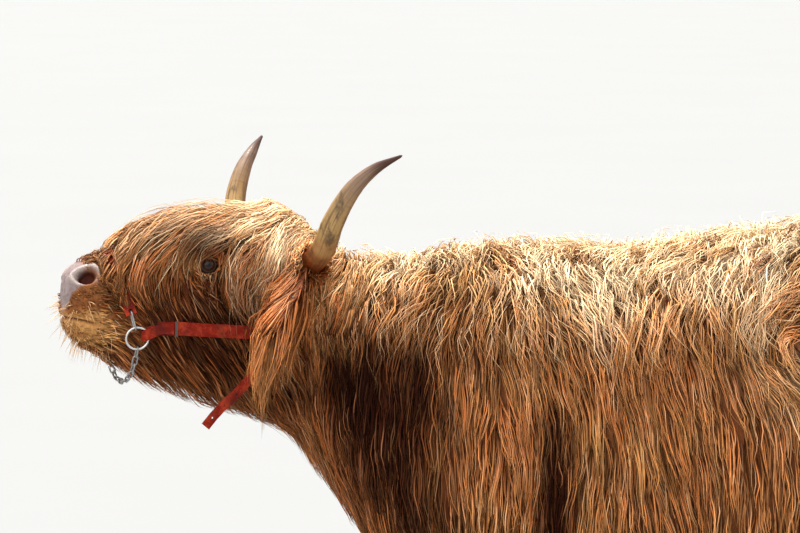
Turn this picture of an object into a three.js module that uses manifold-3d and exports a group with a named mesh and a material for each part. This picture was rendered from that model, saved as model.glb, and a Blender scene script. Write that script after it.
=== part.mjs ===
// A highland cow standing on four hooves, life size, in millimetres.
// It faces -Y, its left side is +X, and +Z is up. The solids reach out to the tips of its coat.
import * as THREE from "three";
import { mergeVertices } from "three/addons/utils/BufferGeometryUtils.js";
import Module from "manifold-3d";

const wasm = await Module();
wasm.setup();

// ---- Driving dimensions ----------------------------------------------------------------
const GAP = 0.3; // between pieces that touch
const HOOF_TOP = 64; // height of the coronet
const FEATHER_HEM = 30; // the leg's hair ends this far above the ground
const LEG_CUT = 394; // the trunk ends and the legs begin at this height
const NECK_CUT = -345; // the trunk's front end, along Y
const HEAD_CUT = 452; // the head's back end, measured from the nose
const NOSE = new THREE.Vector3(190, -943, 0); // the nose, above the ground's plane
const HEAD_TURN = THREE.MathUtils.degToRad(24); // the head is turned to its left
const EYE_RADIUS = 18.5;
const STRAP_THICK = 4;
const CHEEK_WIDTH = 26;
const NOSE_WIDTH = 22;
const RING_RADIUS = 21.5;
const RING_WIRE = 2.6;
const LINK_WIRE = 1.8;
const LINK_LENGTH = 26;
const LINK_WIDTH = 14;
const END_STRAP_WIDTH = 18;

const COAT = { color: 0xa8622c, roughness: 0.9, metalness: 0 };
const COAT_DARK = { color: 0x7c4420, roughness: 0.9, metalness: 0 };
const COAT_PALE = { color: 0xc98c4a, roughness: 0.9, metalness: 0 };
const SKIN = { color: 0xb08a74, roughness: 0.7, metalness: 0 };
const HORN = { color: 0xcdb68c, roughness: 0.45, metalness: 0 };
const HOOF = { color: 0x3a312b, roughness: 0.6, metalness: 0 };
const EYE = { color: 0x1a1413, roughness: 0.1, metalness: 0 };
const STRAP_DARK = { color: 0x5a1d16, roughness: 0.7, metalness: 0 };
const STRAP = { color: 0xb83a28, roughness: 0.6, metalness: 0 };
const STEEL = { color: 0xb4b6ba, roughness: 0.3, metalness: 1 };

// Rows of named sizes along a body part. "at" runs along the part, and a smooth curve joins the rows.
const TORSO_ROWS = [
  // at (Y), sideways offset, turn in degrees, top, bottom, half width, squareness
  { at: -560, side: 22, turn: 22, top: 1140, bottom: 890, half: 84, square: 2.1 },
  { at: -530, side: 11, turn: 21, top: 1196, bottom: 812, half: 132, square: 2.1 },
  { at: -495, side: 0, turn: 18, top: 1190, bottom: 764, half: 157, square: 2.1 },
  { at: -450, side: -7, turn: 14, top: 1166, bottom: 694, half: 180, square: 2.1 },
  { at: -410, side: -9, turn: 10, top: 1152, bottom: 634, half: 200, square: 2.1 },
  { at: -340, side: -6, turn: 4, top: 1146, bottom: 532, half: 236, square: 2.2 },
  { at: -260, side: -1, turn: 1, top: 1152, bottom: 456, half: 264, square: 2.3 },
  { at: -170, side: 0, turn: 0, top: 1164, bottom: 418, half: 284, square: 2.4 },
  { at: -80, side: 0, turn: 0, top: 1172, bottom: 404, half: 296, square: 2.4 },
  { at: 30, side: 0, turn: 0, top: 1170, bottom: 398, half: 312, square: 2.4 },
  { at: 130, side: 0, turn: 0, top: 1166, bottom: 396, half: 326, square: 2.4 },
  { at: 280, side: 0, turn: 0, top: 1184, bottom: 400, half: 336, square: 2.4 },
  { at: 440, side: 0, turn: 0, top: 1208, bottom: 410, half: 328, square: 2.4 },
  { at: 590, side: 0, turn: 0, top: 1222, bottom: 428, half: 308, square: 2.4 },
  { at: 720, side: 0, turn: 0, top: 1216, bottom: 455, half: 290, square: 2.4 },
  { at: 840, side: 0, turn: 0, top: 1192, bottom: 490, half: 266, square: 2.3 },
  { at: 930, side: 0, turn: 0, top: 1150, bottom: 548, half: 226, square: 2.2 },
  { at: 985, side: 0, turn: 0, top: 1096, bottom: 640, half: 164, square: 2.1 },
  { at: 1010, side: 0, turn: 0, top: 1030, bottom: 760, half: 80, square: 2.0 },
];
const HEAD_ROWS = [
  // at (from the nose), top, bottom, half width, squareness, extra width low down
  { at: 0, top: 1112, bottom: 1030, half: 34, square: 2.3, low: 0 },
  { at: 10, top: 1130, bottom: 1000, half: 50, square: 2.4, low: 0 },
  { at: 24, top: 1144, bottom: 982, half: 60, square: 2.5, low: 0 },
  { at: 45, top: 1153, bottom: 970, half: 67, square: 2.5, low: 0 },
  { at: 80, top: 1164, bottom: 948, half: 71, square: 2.4, low: 0.05 },
  { at: 120, top: 1188, bottom: 918, half: 76, square: 2.2, low: 0.12 },
  { at: 165, top: 1220, bottom: 898, half: 87, square: 2.1, low: 0.16 },
  { at: 215, top: 1240, bottom: 882, half: 104, square: 2.1, low: 0.14 },
  { at: 262, top: 1250, bottom: 868, half: 121, square: 2.1, low: 0.08 },
  { at: 315, top: 1255, bottom: 852, half: 136, square: 2.1, low: 0.03 },
  { at: 370, top: 1254, bottom: 836, half: 143, square: 2.1, low: 0 },
  { at: 430, top: 1238, bottom: 812, half: 144, square: 2.1, low: 0.02 },
  { at: 500, top: 1196, bottom: 762, half: 158, square: 2.1, low: 0.06 },
  { at: 560, top: 1165, bottom: 702, half: 176, square: 2.1, low: 0.1 },
];
const EAR_ROWS = [
  // at (sideways from the head's middle), from the nose, half length, top, bottom with its fringe
  { at: 100, back: 432, half: 22, top: 1138, bottom: 1086 },
  { at: 128, back: 430, half: 34, top: 1150, bottom: 1060 },
  { at: 170, back: 418, half: 56, top: 1160, bottom: 1004 },
  { at: 212, back: 388, half: 62, top: 1138, bottom: 938 },
  { at: 250, back: 352, half: 54, top: 1106, bottom: 884 },
  { at: 282, back: 322, half: 36, top: 1066, bottom: 868 },
  { at: 300, back: 306, half: 14, top: 1010, bottom: 900 },
];
const HORN_PATH = [
  // sideways, from the nose, height
  [96, 452, 1134],
  [150, 458, 1143],
  [212, 454, 1172],
  [252, 458, 1226],
  [280, 484, 1286],
  [308, 518, 1326],
  [350, 557, 1354],
];
const HORN_THICK = [26, 25.5, 24, 21.5, 17.5, 11.5, 2.5];
const FRONT_LEG_ROWS = [
  // at (height), along Y, sideways, half length, half width
  { at: 620, along: -176, side: 140, half: 70, wide: 60 },
  { at: 530, along: -172, side: 158, half: 92, wide: 76 },
  { at: 440, along: -166, side: 162, half: 84, wide: 73 },
  { at: 370, along: -160, side: 158, half: 68, wide: 62 },
  { at: 315, along: -160, side: 156, half: 62, wide: 58 },
  { at: 245, along: -152, side: 155, half: 52, wide: 49 },
  { at: 170, along: -150, side: 155, half: 50, wide: 46 },
  { at: 115, along: -155, side: 155, half: 60, wide: 54 },
  { at: 70, along: -168, side: 155, half: 68, wide: 60 },
  { at: FEATHER_HEM, along: -176, side: 155, half: 66, wide: 60 },
];
const HIND_LEG_ROWS = [
  { at: 860, along: 800, side: 120, half: 110, wide: 90 },
  { at: 740, along: 806, side: 142, half: 168, wide: 116 },
  { at: 640, along: 812, side: 154, half: 158, wide: 112 },
  { at: 540, along: 838, side: 158, half: 118, wide: 90 },
  { at: 455, along: 876, side: 157, half: 84, wide: 68 },
  { at: 395, along: 896, side: 154, half: 66, wide: 56 },
  { at: 300, along: 892, side: 152, half: 55, wide: 48 },
  { at: 190, along: 884, side: 150, half: 53, wide: 46 },
  { at: 120, along: 876, side: 150, half: 62, wide: 54 },
  { at: 72, along: 864, side: 150, half: 70, wide: 60 },
  { at: FEATHER_HEM, along: 856, side: 150, half: 68, wide: 60 },
];
const TAIL_ROWS = [
  // at (height), along Y, sideways, half length, half width
  { at: 1140, along: 950, side: 0, half: 40, wide: 46 },
  { at: 1090, along: 1012, side: 0, half: 42, wide: 42 },
  { at: 1010, along: 1040, side: 2, half: 36, wide: 36 },
  { at: 860, along: 1046, side: 5, half: 32, wide: 34 },
  { at: 680, along: 1040, side: 8, half: 32, wide: 36 },
  { at: 540, along: 1036, side: 11, half: 42, wide: 48 },
  { at: 400, along: 1034, side: 14, half: 54, wide: 60 },
  { at: 280, along: 1034, side: 16, half: 48, wide: 54 },
  { at: 190, along: 1036, side: 17, half: 26, wide: 30 },
  { at: 150, along: 1038, side: 17, half: 7, wide: 9 },
];
const SIDES = { left: 1, right: -1 };
// Each leg's own step along Y, so that it stands at ease.
const LEGS = {
  front_left: { rows: FRONT_LEG_ROWS, mirror: 1, step: -14 },
  front_right: { rows: FRONT_LEG_ROWS, mirror: -1, step: 24 },
  hind_left: { rows: HIND_LEG_ROWS, mirror: 1, step: 12 },
  hind_right: { rows: HIND_LEG_ROWS, mirror: -1, step: -46 },
};

// ---- Building blocks -------------------------------------------------------------------

// A smooth curve through rows of named numbers: returns at -> { name: value }.
function smoothRows(rows) {
  const descending = rows[0].at > rows[rows.length - 1].at;
  const ordered = descending ? [...rows].reverse() : rows;
  const names = Object.keys(rows[0]).filter((name) => name !== "at");
  const places = ordered.map((row) => row.at);
  const values = ordered.flatMap((row) => names.map((name) => row[name]));
  const curve = new THREE.CubicInterpolant(places, values, names.length);
  return (at) => {
    const found = curve.evaluate(at);
    return Object.fromEntries(names.map((name, i) => [name, found[i]]));
  };
}

// A closed solid through rings of equal length, its two ends closed by a fan to their middles.
function loftRings(rings) {
  const sides = rings[0].length;
  const points = rings.flat();
  const faces = [];
  for (let i = 0; i + 1 < rings.length; i++)
    for (let k = 0; k < sides; k++) {
      const a = i * sides + k;
      const b = i * sides + ((k + 1) % sides);
      faces.push(a, b, b + sides, a, b + sides, a + sides);
    }
  const middle = (ring) => ring.reduce((sum, p) => sum.add(p), new THREE.Vector3()).divideScalar(sides);
  const first = points.push(middle(rings[0])) - 1;
  const last = points.push(middle(rings[rings.length - 1])) - 1;
  const lastRing = (rings.length - 1) * sides;
  for (let k = 0; k < sides; k++) {
    const next = (k + 1) % sides;
    faces.push(first, next, k, last, lastRing + k, lastRing + next);
  }
  const geometry = new THREE.BufferGeometry().setFromPoints(points);
  geometry.setIndex(faces);
  return facingOut(geometry);
}

// Turns every face over if the solid is inside out.
function facingOut(geometry) {
  const p = geometry.getAttribute("position");
  const faces = geometry.getIndex().array;
  const [a, b, c] = [new THREE.Vector3(), new THREE.Vector3(), new THREE.Vector3()];
  let volume = 0;
  for (let i = 0; i < faces.length; i += 3) {
    a.fromBufferAttribute(p, faces[i]);
    b.fromBufferAttribute(p, faces[i + 1]);
    c.fromBufferAttribute(p, faces[i + 2]);
    volume += a.dot(b.cross(c));
  }
  const turned = (i) => [faces[i], faces[i + 1]] = [faces[i + 1], faces[i]];
  if (volume < 0) for (let i = 0; i < faces.length; i += 3) turned(i);
  geometry.computeVertexNormals();
  return geometry;
}

// The point of a unit superellipse at an angle: a circle at squareness 2, boxier above it.
function rim(angle, square) {
  const part = (v) => Math.sign(v) * Math.abs(v) ** (2 / square);
  return [part(Math.cos(angle)), part(Math.sin(angle))];
}

// sides points of a level or upright ring, each made from its angle.
function ringOf(sides, pointAt) {
  return Array.from({ length: sides }, (_, k) => pointAt((k * 2 * Math.PI) / sides));
}

// count rings spread evenly between two places.
function spread(count, from, to, ringAt) {
  return Array.from({ length: count }, (_, i) => ringAt(from + ((to - from) * i) / (count - 1)));
}

function solid(geometry, matrix = new THREE.Matrix4()) {
  const bare = geometry.clone().applyMatrix4(matrix);
  bare.deleteAttribute("normal");
  bare.deleteAttribute("uv");
  const merged = mergeVertices(bare);
  return new wasm.Manifold(
    new wasm.Mesh({
      numProp: 3,
      vertProperties: new Float32Array(merged.getAttribute("position").array),
      triVerts: new Uint32Array(merged.getIndex().array),
    }),
  );
}

function geometryOf(shape) {
  const mesh = shape.getMesh();
  const geometry = new THREE.BufferGeometry();
  geometry.setAttribute("position", new THREE.BufferAttribute(new Float32Array(mesh.vertProperties), 3));
  geometry.setIndex(new THREE.BufferAttribute(new Uint32Array(mesh.triVerts), 1));
  geometry.computeVertexNormals();
  return geometry;
}

// A box between two corners, as a solid.
function boxBetween(low, high, matrix) {
  const size = high.map((v, i) => v - low[i]);
  const box = new THREE.BoxGeometry(...size);
  box.translate(...low.map((v, i) => v + size[i] / 2));
  return solid(box, matrix);
}

// The piece of a solid that holds the most volume, so that a cut leaves no crumbs.
function largest(shape) {
  return shape.decompose().reduce((best, piece) => (piece.volume() > best.volume() ? piece : best));
}

const cow = new THREE.Group();
cow.name = "highland_cow";

function addMesh(name, geometry, look) {
  const mesh = new THREE.Mesh(geometry, new THREE.MeshStandardMaterial(look));
  mesh.name = name;
  cow.add(mesh);
  return mesh;
}

// ---- The head's own frame: sideways (left +), back from the nose, height ------------------
const headFrame = new THREE.Matrix4().makeRotationZ(HEAD_TURN).setPosition(NOSE);
const fromHead = (side, back, height) => new THREE.Vector3(side, back, height).applyMatrix4(headFrame);

// ---- Flesh and coat ----------------------------------------------------------------------
// Neck and trunk in one: upright rings along the back, each turned a little towards the head.
function makeTorso() {
  const rowAt = smoothRows(TORSO_ROWS);
  const ringAt = (y) => {
    const { side, turn, top, bottom, half, square } = rowAt(y);
    const heading = THREE.MathUtils.degToRad(turn);
    const middle = (top + bottom) / 2;
    return ringOf(20, (angle) => {
      const [x, z] = rim(angle, square);
      const across = x * half * (1 - 0.08 * z);
      const height = middle + (z * (top - bottom)) / 2;
      return new THREE.Vector3(side + across * Math.cos(heading), y + across * Math.sin(heading), height);
    });
  };
  return loftRings(spread(24, TORSO_ROWS[0].at, TORSO_ROWS[TORSO_ROWS.length - 1].at, ringAt));
}

// A point on the head's coat, at a distance from the nose and an angle round from its left side.
const headRowAt = smoothRows(HEAD_ROWS);
function headPoint(back, angle) {
  const { top, bottom, half, square, low } = headRowAt(back);
  const [x, z] = rim(angle, square);
  const across = x * half * (1 - low * z);
  return fromHead(across, back, (top + bottom) / 2 + (z * (top - bottom)) / 2);
}

// The same point moved in or out along the head's surface normal, with that normal.
function overHead(back, angle, lift) {
  const step = 0.02;
  const point = headPoint(back, angle);
  const round = headPoint(back, angle + step).sub(headPoint(back, angle - step));
  const along = headPoint(back + 2, angle).sub(headPoint(back - 2, angle));
  const normal = along.cross(round).normalize();
  return { point: point.addScaledVector(normal, lift), normal };
}

function makeHead() {
  // The rings lie closer together towards the nose.
  const reach = HEAD_CUT + 34;
  const rings = spread(16, 0, 1, (share) => ringOf(18, (angle) => headPoint(reach * share ** 1.7, angle)));
  return loftRings(rings);
}

// A leg or the tail, made of level rings, one for each row. grow makes it larger all round.
function makeUprightLoft(rows, sides, mirror = 1, step = 0, grow = 0) {
  const ringOfRow = ({ at, along, side, half, wide }) =>
    ringOf(sides, (angle) => {
      const x = (side + (wide + grow) * Math.cos(angle)) * mirror;
      return new THREE.Vector3(x, along + step + (half + grow) * Math.sin(angle), at);
    });
  return loftRings(rows.map(ringOfRow));
}

const makeTail = (grow = 0) => makeUprightLoft(TAIL_ROWS, 10, 1, 0, grow);

// An ear with its fringe, standing out sideways. grow makes it larger all round.
function makeEar(mirror, grow = 0) {
  const rowAt = smoothRows(EAR_ROWS);
  const root = EAR_ROWS[0].at;
  const ringAt = (at) => {
    const { back, half, top, bottom } = rowAt(at);
    const middle = (top + bottom) / 2;
    return ringOf(9, (angle) => {
      const y = Math.cos(angle);
      const z = Math.sin(angle);
      // The fringe below hangs narrower than the ear above it.
      const length = (half + grow) * (z < 0 ? 1 + 0.35 * z : 1);
      const side = at === root ? at - grow : at;
      return fromHead(mirror * side, back + y * length, middle + z * ((top - bottom) / 2 + grow));
    });
  };
  return loftRings(spread(9, root, EAR_ROWS[EAR_ROWS.length - 1].at, ringAt));
}

// A tapering round horn along a smooth path, its root inside the head. grow makes it larger all round.
function makeHorn(mirror, grow = 0) {
  const points = HORN_PATH.map(([side, back, height]) => fromHead(mirror * side, back, height));
  const path = new THREE.CatmullRomCurve3(points);
  const steps = 12;
  const places = HORN_THICK.map((_, i) => i / (HORN_THICK.length - 1));
  const thick = new THREE.CubicInterpolant(places, HORN_THICK, 1);
  const frames = path.computeFrenetFrames(steps, false);
  const rings = spread(steps + 1, 0, steps, (i) => {
    const share = path.getUtoTmapping(i / steps);
    const centre = path.getPoint(share);
    if (i === 0) centre.addScaledVector(frames.tangents[0], -grow);
    const radius = thick.evaluate(share)[0] + grow;
    return ringOf(9, (angle) =>
      centre
        .clone()
        .addScaledVector(frames.normals[i], radius * Math.cos(angle))
        .addScaledVector(frames.binormals[i], radius * Math.sin(angle)),
    );
  });
  return loftRings(rings);
}

// One claw of a cloven hoof: its flat sole on the ground, its toe forward (-Y). grow makes it larger.
function makeClaw(grow = 0) {
  const rows = [
    { at: -grow, along: -20, half: 58, wide: 23 },
    { at: 14, along: -19, half: 58, wide: 24.5 },
    { at: 38, along: -10, half: 50, wide: 24 },
    { at: HOOF_TOP + grow, along: 0, half: 40, wide: 21 },
  ];
  const rowAt = smoothRows(rows);
  const ringAt = (z) => {
    const { along, half, wide } = rowAt(z);
    return ringOf(10, (angle) => {
      const [x, y] = rim(angle, 2.4);
      // The toe is narrower than the heel.
      const width = (wide + grow) * (1 + 0.12 * y);
      return new THREE.Vector3(x * width, along + y * (half + grow), z);
    });
  };
  return loftRings(spread(3, rows[0].at, rows[rows.length - 1].at, ringAt));
}

// A small dewclaw behind the fetlock, its blunt end down and back. grow makes it larger.
function makeDewclaw(grow = 0) {
  const cone = new THREE.CylinderGeometry(9 + grow, 13 + grow, 26 + 2 * grow, 7, 1);
  cone.rotateX(THREE.MathUtils.degToRad(-60));
  return cone;
}

// A band on the head's coat, along a route cut into equal steps, from step "first" to step "last".
// stops are [back, angle in degrees, lift]. Its section reaches from "under" to "over" past that lift.
function headBand(stops, width, under, over, steps, first = 0, last = steps) {
  const path = new THREE.CatmullRomCurve3(stops.map((stop) => new THREE.Vector3(...stop)));
  const at = (t) => {
    const place = path.getPoint(THREE.MathUtils.clamp(t, 0, 1));
    return overHead(place.x, THREE.MathUtils.degToRad(place.y), place.z);
  };
  const whole = Array.from({ length: steps + 1 }, (_, step) => step);
  const used = [first, ...whole.filter((step) => step > first && step < last), last];
  return loftRings(
    used.map((step) => {
      const t = step / steps;
      const { point, normal } = at(t);
      const along = at(t + 0.01).point.sub(at(t - 0.01).point).normalize();
      return strapSection(point, along, along.clone().cross(normal), width, under, over);
    }),
  );
}

// The four corners of a flat strap's section: "across" is the direction of its width.
function strapSection(point, along, across, width, under, over) {
  const wide = across.clone().addScaledVector(along, -along.dot(across)).normalize();
  const out = wide.clone().cross(along).normalize();
  const corners = [
    [-0.5, under],
    [0.5, under],
    [0.5, over],
    [-0.5, over],
  ];
  const cornerAt = ([side, lift]) => point.clone().addScaledVector(wide, side * width).addScaledVector(out, lift);
  return corners.map(cornerAt);
}

// A flat strap along free points. acrossAt gives the direction of its width from its own direction.
function freeStrap(points, acrossAt, width, count) {
  const path = new THREE.CatmullRomCurve3(points);
  return loftRings(
    spread(count, 0, 1, (t) => {
      const along = path.getTangent(t);
      return strapSection(path.getPoint(t), along, acrossAt(along), width, -STRAP_THICK / 2, STRAP_THICK / 2);
    }),
  );
}

// ---- The halter's routes over the head ----------------------------------------------------
// The angle, in degrees, at which the head's left side has a given height.
function angleAt(back, height) {
  const { top, bottom, square } = headRowAt(back);
  const share = (height - (top + bottom) / 2) / ((top - bottom) / 2);
  return THREE.MathUtils.radToDeg(Math.asin(Math.sign(share) * Math.abs(share) ** (square / 2)));
}
const leftStop = (back, height, lift) => [back, angleAt(back, height), lift];
const mirrored = (stops) => stops.map(([back, degrees, lift]) => [back, 180 - degrees, lift]);

const RING_PLACE = { back: 122, height: 1000, lift: 9 };
const NOSE_HALF_BAND = [leftStop(110, 1044, 7), leftStop(104, 1064, 2), leftStop(98, 1092, -5), [91, 56, -8]];
const NOSE_BAND_STEPS = 8;
const NOSE_BAND_STOPS = [...NOSE_HALF_BAND, [87, 90, -8], ...mirrored(NOSE_HALF_BAND).reverse()];
const CHEEK_STOPS = [
  leftStop(160, 1016, 3),
  leftStop(200, 1015, -4),
  leftStop(260, 1010, -7),
  leftStop(320, 1006, -7),
  leftStop(384, 1000, -6),
  leftStop(434, 1008, -4),
  leftStop(472, 1042, -4),
  leftStop(492, 1092, -4),
  leftStop(500, 1150, -4),
];
const HEADSTALL_STOPS = [...CHEEK_STOPS, [496, 90, -4], ...mirrored(CHEEK_STOPS).reverse()];
const HEADSTALL_STEPS = 18;
const CHEEK_STEPS = 6; // at each end; the crown strap is the part between

function makeBody() {
  let body = solid(makeTorso()).add(solid(makeHead()));
  for (const { rows, mirror, step } of Object.values(LEGS))
    body = body.add(solid(makeUprightLoft(rows, 10, mirror, step)));
  return body;
}

// The udder with its four teats, between the hind legs. grow makes it larger all round.
const UDDER = { along: 700, height: 456, wide: 88, long: 112, tall: 66 };
function makeUdder(grow = 0) {
  const bag = new THREE.SphereGeometry(1, 9, 6);
  bag.scale(UDDER.wide + grow, UDDER.long + grow, UDDER.tall + grow);
  bag.translate(0, UDDER.along, UDDER.height);
  let udder = solid(bag);
  for (const x of [-38, 38])
    for (const y of [-46, 44]) {
      const teat = new THREE.CylinderGeometry(11 + grow, 8 + grow, 62 + 2 * grow, 5);
      teat.rotateX(Math.PI / 2);
      teat.translate(x, UDDER.along + y, UDDER.height - UDDER.tall);
      udder = udder.add(solid(teat));
    }
  return udder;
}

// ---- Features cut into the head ------------------------------------------------------------
const EYE_PLACE = { side: 89, back: 264, height: 1136 };
const eyeBall = (radius) => new THREE.SphereGeometry(radius, 9, 7);
const eyeAt = (mirror) => fromHead(mirror * EYE_PLACE.side, EYE_PLACE.back, EYE_PLACE.height);

function eyeHollow(mirror) {
  const socket = solid(
    eyeBall(EYE_RADIUS + GAP),
    new THREE.Matrix4().setPosition(eyeAt(mirror)),
  );
  const dish = new THREE.SphereGeometry(1, 7, 5);
  dish.scale(20, 34, 24);
  dish.rotateZ(HEAD_TURN);
  const place = fromHead(mirror * (EYE_PLACE.side + 24), EYE_PLACE.back - 3, EYE_PLACE.height);
  return socket.add(solid(dish, new THREE.Matrix4().setPosition(place)));
}

function nostril(mirror) {
  const hole = new THREE.SphereGeometry(1, 8, 6);
  hole.scale(13, 19, 12);
  hole.rotateX(THREE.MathUtils.degToRad(38));
  hole.rotateZ(HEAD_TURN + mirror * THREE.MathUtils.degToRad(28));
  return solid(hole, new THREE.Matrix4().setPosition(fromHead(mirror * 45, 22, 1119)));
}

// The line of the closed mouth, round from one corner to the other.
function mouthGroove() {
  const half = [leftStop(84, 1016, 0), leftStop(54, 1024, 0), leftStop(26, 1032, 0), leftStop(9, 1036, 0)];
  const route = [...half, ...half.map(([back, degrees]) => [back, -180 - degrees, 0]).reverse()];
  return solid(headBand(route, 4, -7, 8, 8));
}

// A strap with a little room: what it takes from a neighbour, up to "height" over the strap's middle.
const STRAP_ROOM = 1;
function strapRoom(stops, width, steps, height) {
  return solid(headBand(stops, width + 2 * STRAP_ROOM, -STRAP_THICK / 2 - GAP, height, steps));
}
const GROOVE_HEIGHT = 26;

function carve(body) {
  let carved = body
    .subtract(strapRoom(NOSE_BAND_STOPS, NOSE_WIDTH, NOSE_BAND_STEPS, GROOVE_HEIGHT))
    .subtract(strapRoom(HEADSTALL_STOPS, CHEEK_WIDTH, HEADSTALL_STEPS, GROOVE_HEIGHT))
    .subtract(mouthGroove());
  for (const mirror of Object.values(SIDES))
    carved = carved
      .subtract(eyeHollow(mirror))
      .subtract(nostril(mirror))
      .subtract(solid(makeHorn(mirror, GAP)))
      .subtract(solid(makeEar(mirror, GAP)));
  return carved.subtract(solid(makeTail(GAP))).subtract(makeUdder(GAP));
}

// ---- Feet ------------------------------------------------------------------------------------
const CLAW_SPREAD = 28; // a claw's middle is this far from the leg's middle
const CLAW_SPLAY = THREE.MathUtils.degToRad(4);
function clawsOf({ rows, mirror, step }) {
  const foot = rows[rows.length - 1];
  const middle = mirror * foot.side;
  return [
    { name: "outer", out: mirror },
    { name: "inner", out: -mirror },
  ].map(({ name, out }) => ({
    name,
    position: new THREE.Vector3(middle + out * CLAW_SPREAD, foot.along + step, 0),
    turn: out * CLAW_SPLAY,
  }));
}
function dewclawsOf({ rows, mirror, step }) {
  const foot = rows[rows.length - 1];
  return [
    { name: "outer", out: mirror },
    { name: "inner", out: -mirror },
  ].map(({ name, out }) => ({
    name,
    position: new THREE.Vector3(mirror * foot.side + out * 22, foot.along + step + 66, 98),
    turn: 0,
  }));
}
const placeOf = ({ position, turn }) => new THREE.Matrix4().makeRotationZ(turn).setPosition(position);

// ---- Assembly ------------------------------------------------------------------------------
const FAR = 3000;
const headBox = (cut) => boxBetween([-FAR, -FAR, 0], [FAR, cut, FAR], headFrame);
const belowBox = (z) => boxBetween([-FAR, -FAR, -FAR], [FAR, FAR, z]);
const frontBox = (y) => boxBetween([-FAR, -FAR, -FAR], [FAR, y, FAR]);
// The quarter of the space below the trunk that holds one leg.
const MIDSHIPS = 400;
function legBox(mirror, front) {
  const low = [mirror > 0 ? 0 : -FAR, front ? -FAR : MIDSHIPS, -FAR];
  const high = [mirror > 0 ? FAR : 0, front ? MIDSHIPS : FAR, LEG_CUT - GAP];
  return boxBetween(low, high);
}

const body = carve(makeBody());
const head = body.intersect(headBox(HEAD_CUT));
const rest = body.subtract(headBox(HEAD_CUT + GAP));
const neck = rest.intersect(frontBox(NECK_CUT)).subtract(belowBox(LEG_CUT));
const behind = rest.subtract(frontBox(NECK_CUT + GAP));
const fleshBelow = behind.subtract(belowBox(LEG_CUT));
addMesh("head", geometryOf(largest(head)), COAT);
addMesh("neck", geometryOf(largest(neck)), COAT_DARK);

addMesh("trunk", geometryOf(largest(fleshBelow)), COAT);
addMesh("tail", makeTail(), COAT_PALE);
addMesh("udder", geometryOf(makeUdder()), SKIN);

for (const [name, leg] of Object.entries(LEGS)) {
  const claws = clawsOf(leg);
  const dewclaws = dewclawsOf(leg);
  let shape = behind.intersect(legBox(leg.mirror, leg.rows === FRONT_LEG_ROWS));
  for (const claw of claws) shape = shape.subtract(solid(makeClaw(GAP), placeOf(claw)));
  for (const dewclaw of dewclaws) shape = shape.subtract(solid(makeDewclaw(GAP), placeOf(dewclaw)));
  addMesh(`leg_${name}`, geometryOf(largest(shape)), COAT_DARK);
  const addClaw = (kind, geometry, place) => {
    const mesh = addMesh(`${kind}_${name}_${place.name}`, geometry, HOOF);
    mesh.position.copy(place.position);
    mesh.rotation.z = place.turn;
  };
  for (const claw of claws) addClaw("claw", makeClaw(), claw);
  for (const dewclaw of dewclaws) addClaw("dewclaw", makeDewclaw(), dewclaw);
}

for (const [sideName, mirror] of Object.entries(SIDES)) {
  addMesh(`horn_${sideName}`, makeHorn(mirror), HORN);
  const strap = strapRoom(HEADSTALL_STOPS, CHEEK_WIDTH, HEADSTALL_STEPS, STRAP_THICK / 2 + GAP);
  const ear = solid(makeEar(mirror)).subtract(solid(makeHorn(mirror, GAP))).subtract(strap);
  addMesh(`ear_${sideName}`, geometryOf(largest(ear)), COAT_PALE);
  const eye = addMesh(`eye_${sideName}`, eyeBall(EYE_RADIUS), EYE);
  eye.position.copy(eyeAt(mirror));
}

// ---- Halter ----------------------------------------------------------------------------------
const HALF_THICK = STRAP_THICK / 2;
const UP = new THREE.Vector3(0, 0, 1);
const headDirection = (side, back) => fromHead(side, back, 0).sub(fromHead(0, 0, 0)).normalize();
const backward = headDirection(0, 1);

const headstall = (first, last) =>
  headBand(HEADSTALL_STOPS, CHEEK_WIDTH, -HALF_THICK, HALF_THICK, HEADSTALL_STEPS, first, last);
const JOINT = 0.02; // a small part of a step, left open between two straps
addMesh("cheek_strap_left", headstall(0, CHEEK_STEPS), STRAP);
addMesh("crown_strap", headstall(CHEEK_STEPS + JOINT, HEADSTALL_STEPS - CHEEK_STEPS - JOINT), STRAP);
addMesh("cheek_strap_right", headstall(HEADSTALL_STEPS - CHEEK_STEPS, HEADSTALL_STEPS), STRAP);

// A steel link: a ring pulled out along X, its wire round, its flat side facing Z.
function makeLink(length, width, wire) {
  const link = new THREE.TorusGeometry(width / 2 - wire, wire, 4, 8);
  link.rotateZ(Math.PI / 8);
  const p = link.getAttribute("position");
  for (let i = 0; i < p.count; i++) p.setX(i, p.getX(i) + (Math.sign(p.getX(i)) * (length - width)) / 2);
  return link;
}

// Sets a mesh at a point with its X axis along one direction and its Y axis as near as can be to another.
function orient(mesh, point, xAxis, yHint) {
  const x = xAxis.clone().normalize();
  const z = x.clone().cross(yHint).normalize();
  mesh.position.copy(point);
  mesh.quaternion.setFromRotationMatrix(new THREE.Matrix4().makeBasis(x, z.clone().cross(x), z));
}

// A place over the head's left side, or over its mirror image, and the way out from the coat there.
function sideSpot(mirror, back, height, lift) {
  const degrees = angleAt(back, height);
  return overHead(back, THREE.MathUtils.degToRad(mirror > 0 ? degrees : 180 - degrees), lift);
}
const sidePoint = (...place) => sideSpot(...place).point;
const ringSpot = (mirror) => sideSpot(mirror, RING_PLACE.back, RING_PLACE.height, RING_PLACE.lift);
// The direction along the coat that is nearest to a given one.
const alongCoat = (direction, normal) =>
  direction.clone().addScaledVector(normal, -direction.dot(normal)).normalize();
const FOLD_SLOPE = THREE.MathUtils.degToRad(25); // the strap's way down to the ring
const FOLD_WIDTH = 20;
const FOLD_START = -5; // the bend's middle, past the ring's wire

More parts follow.
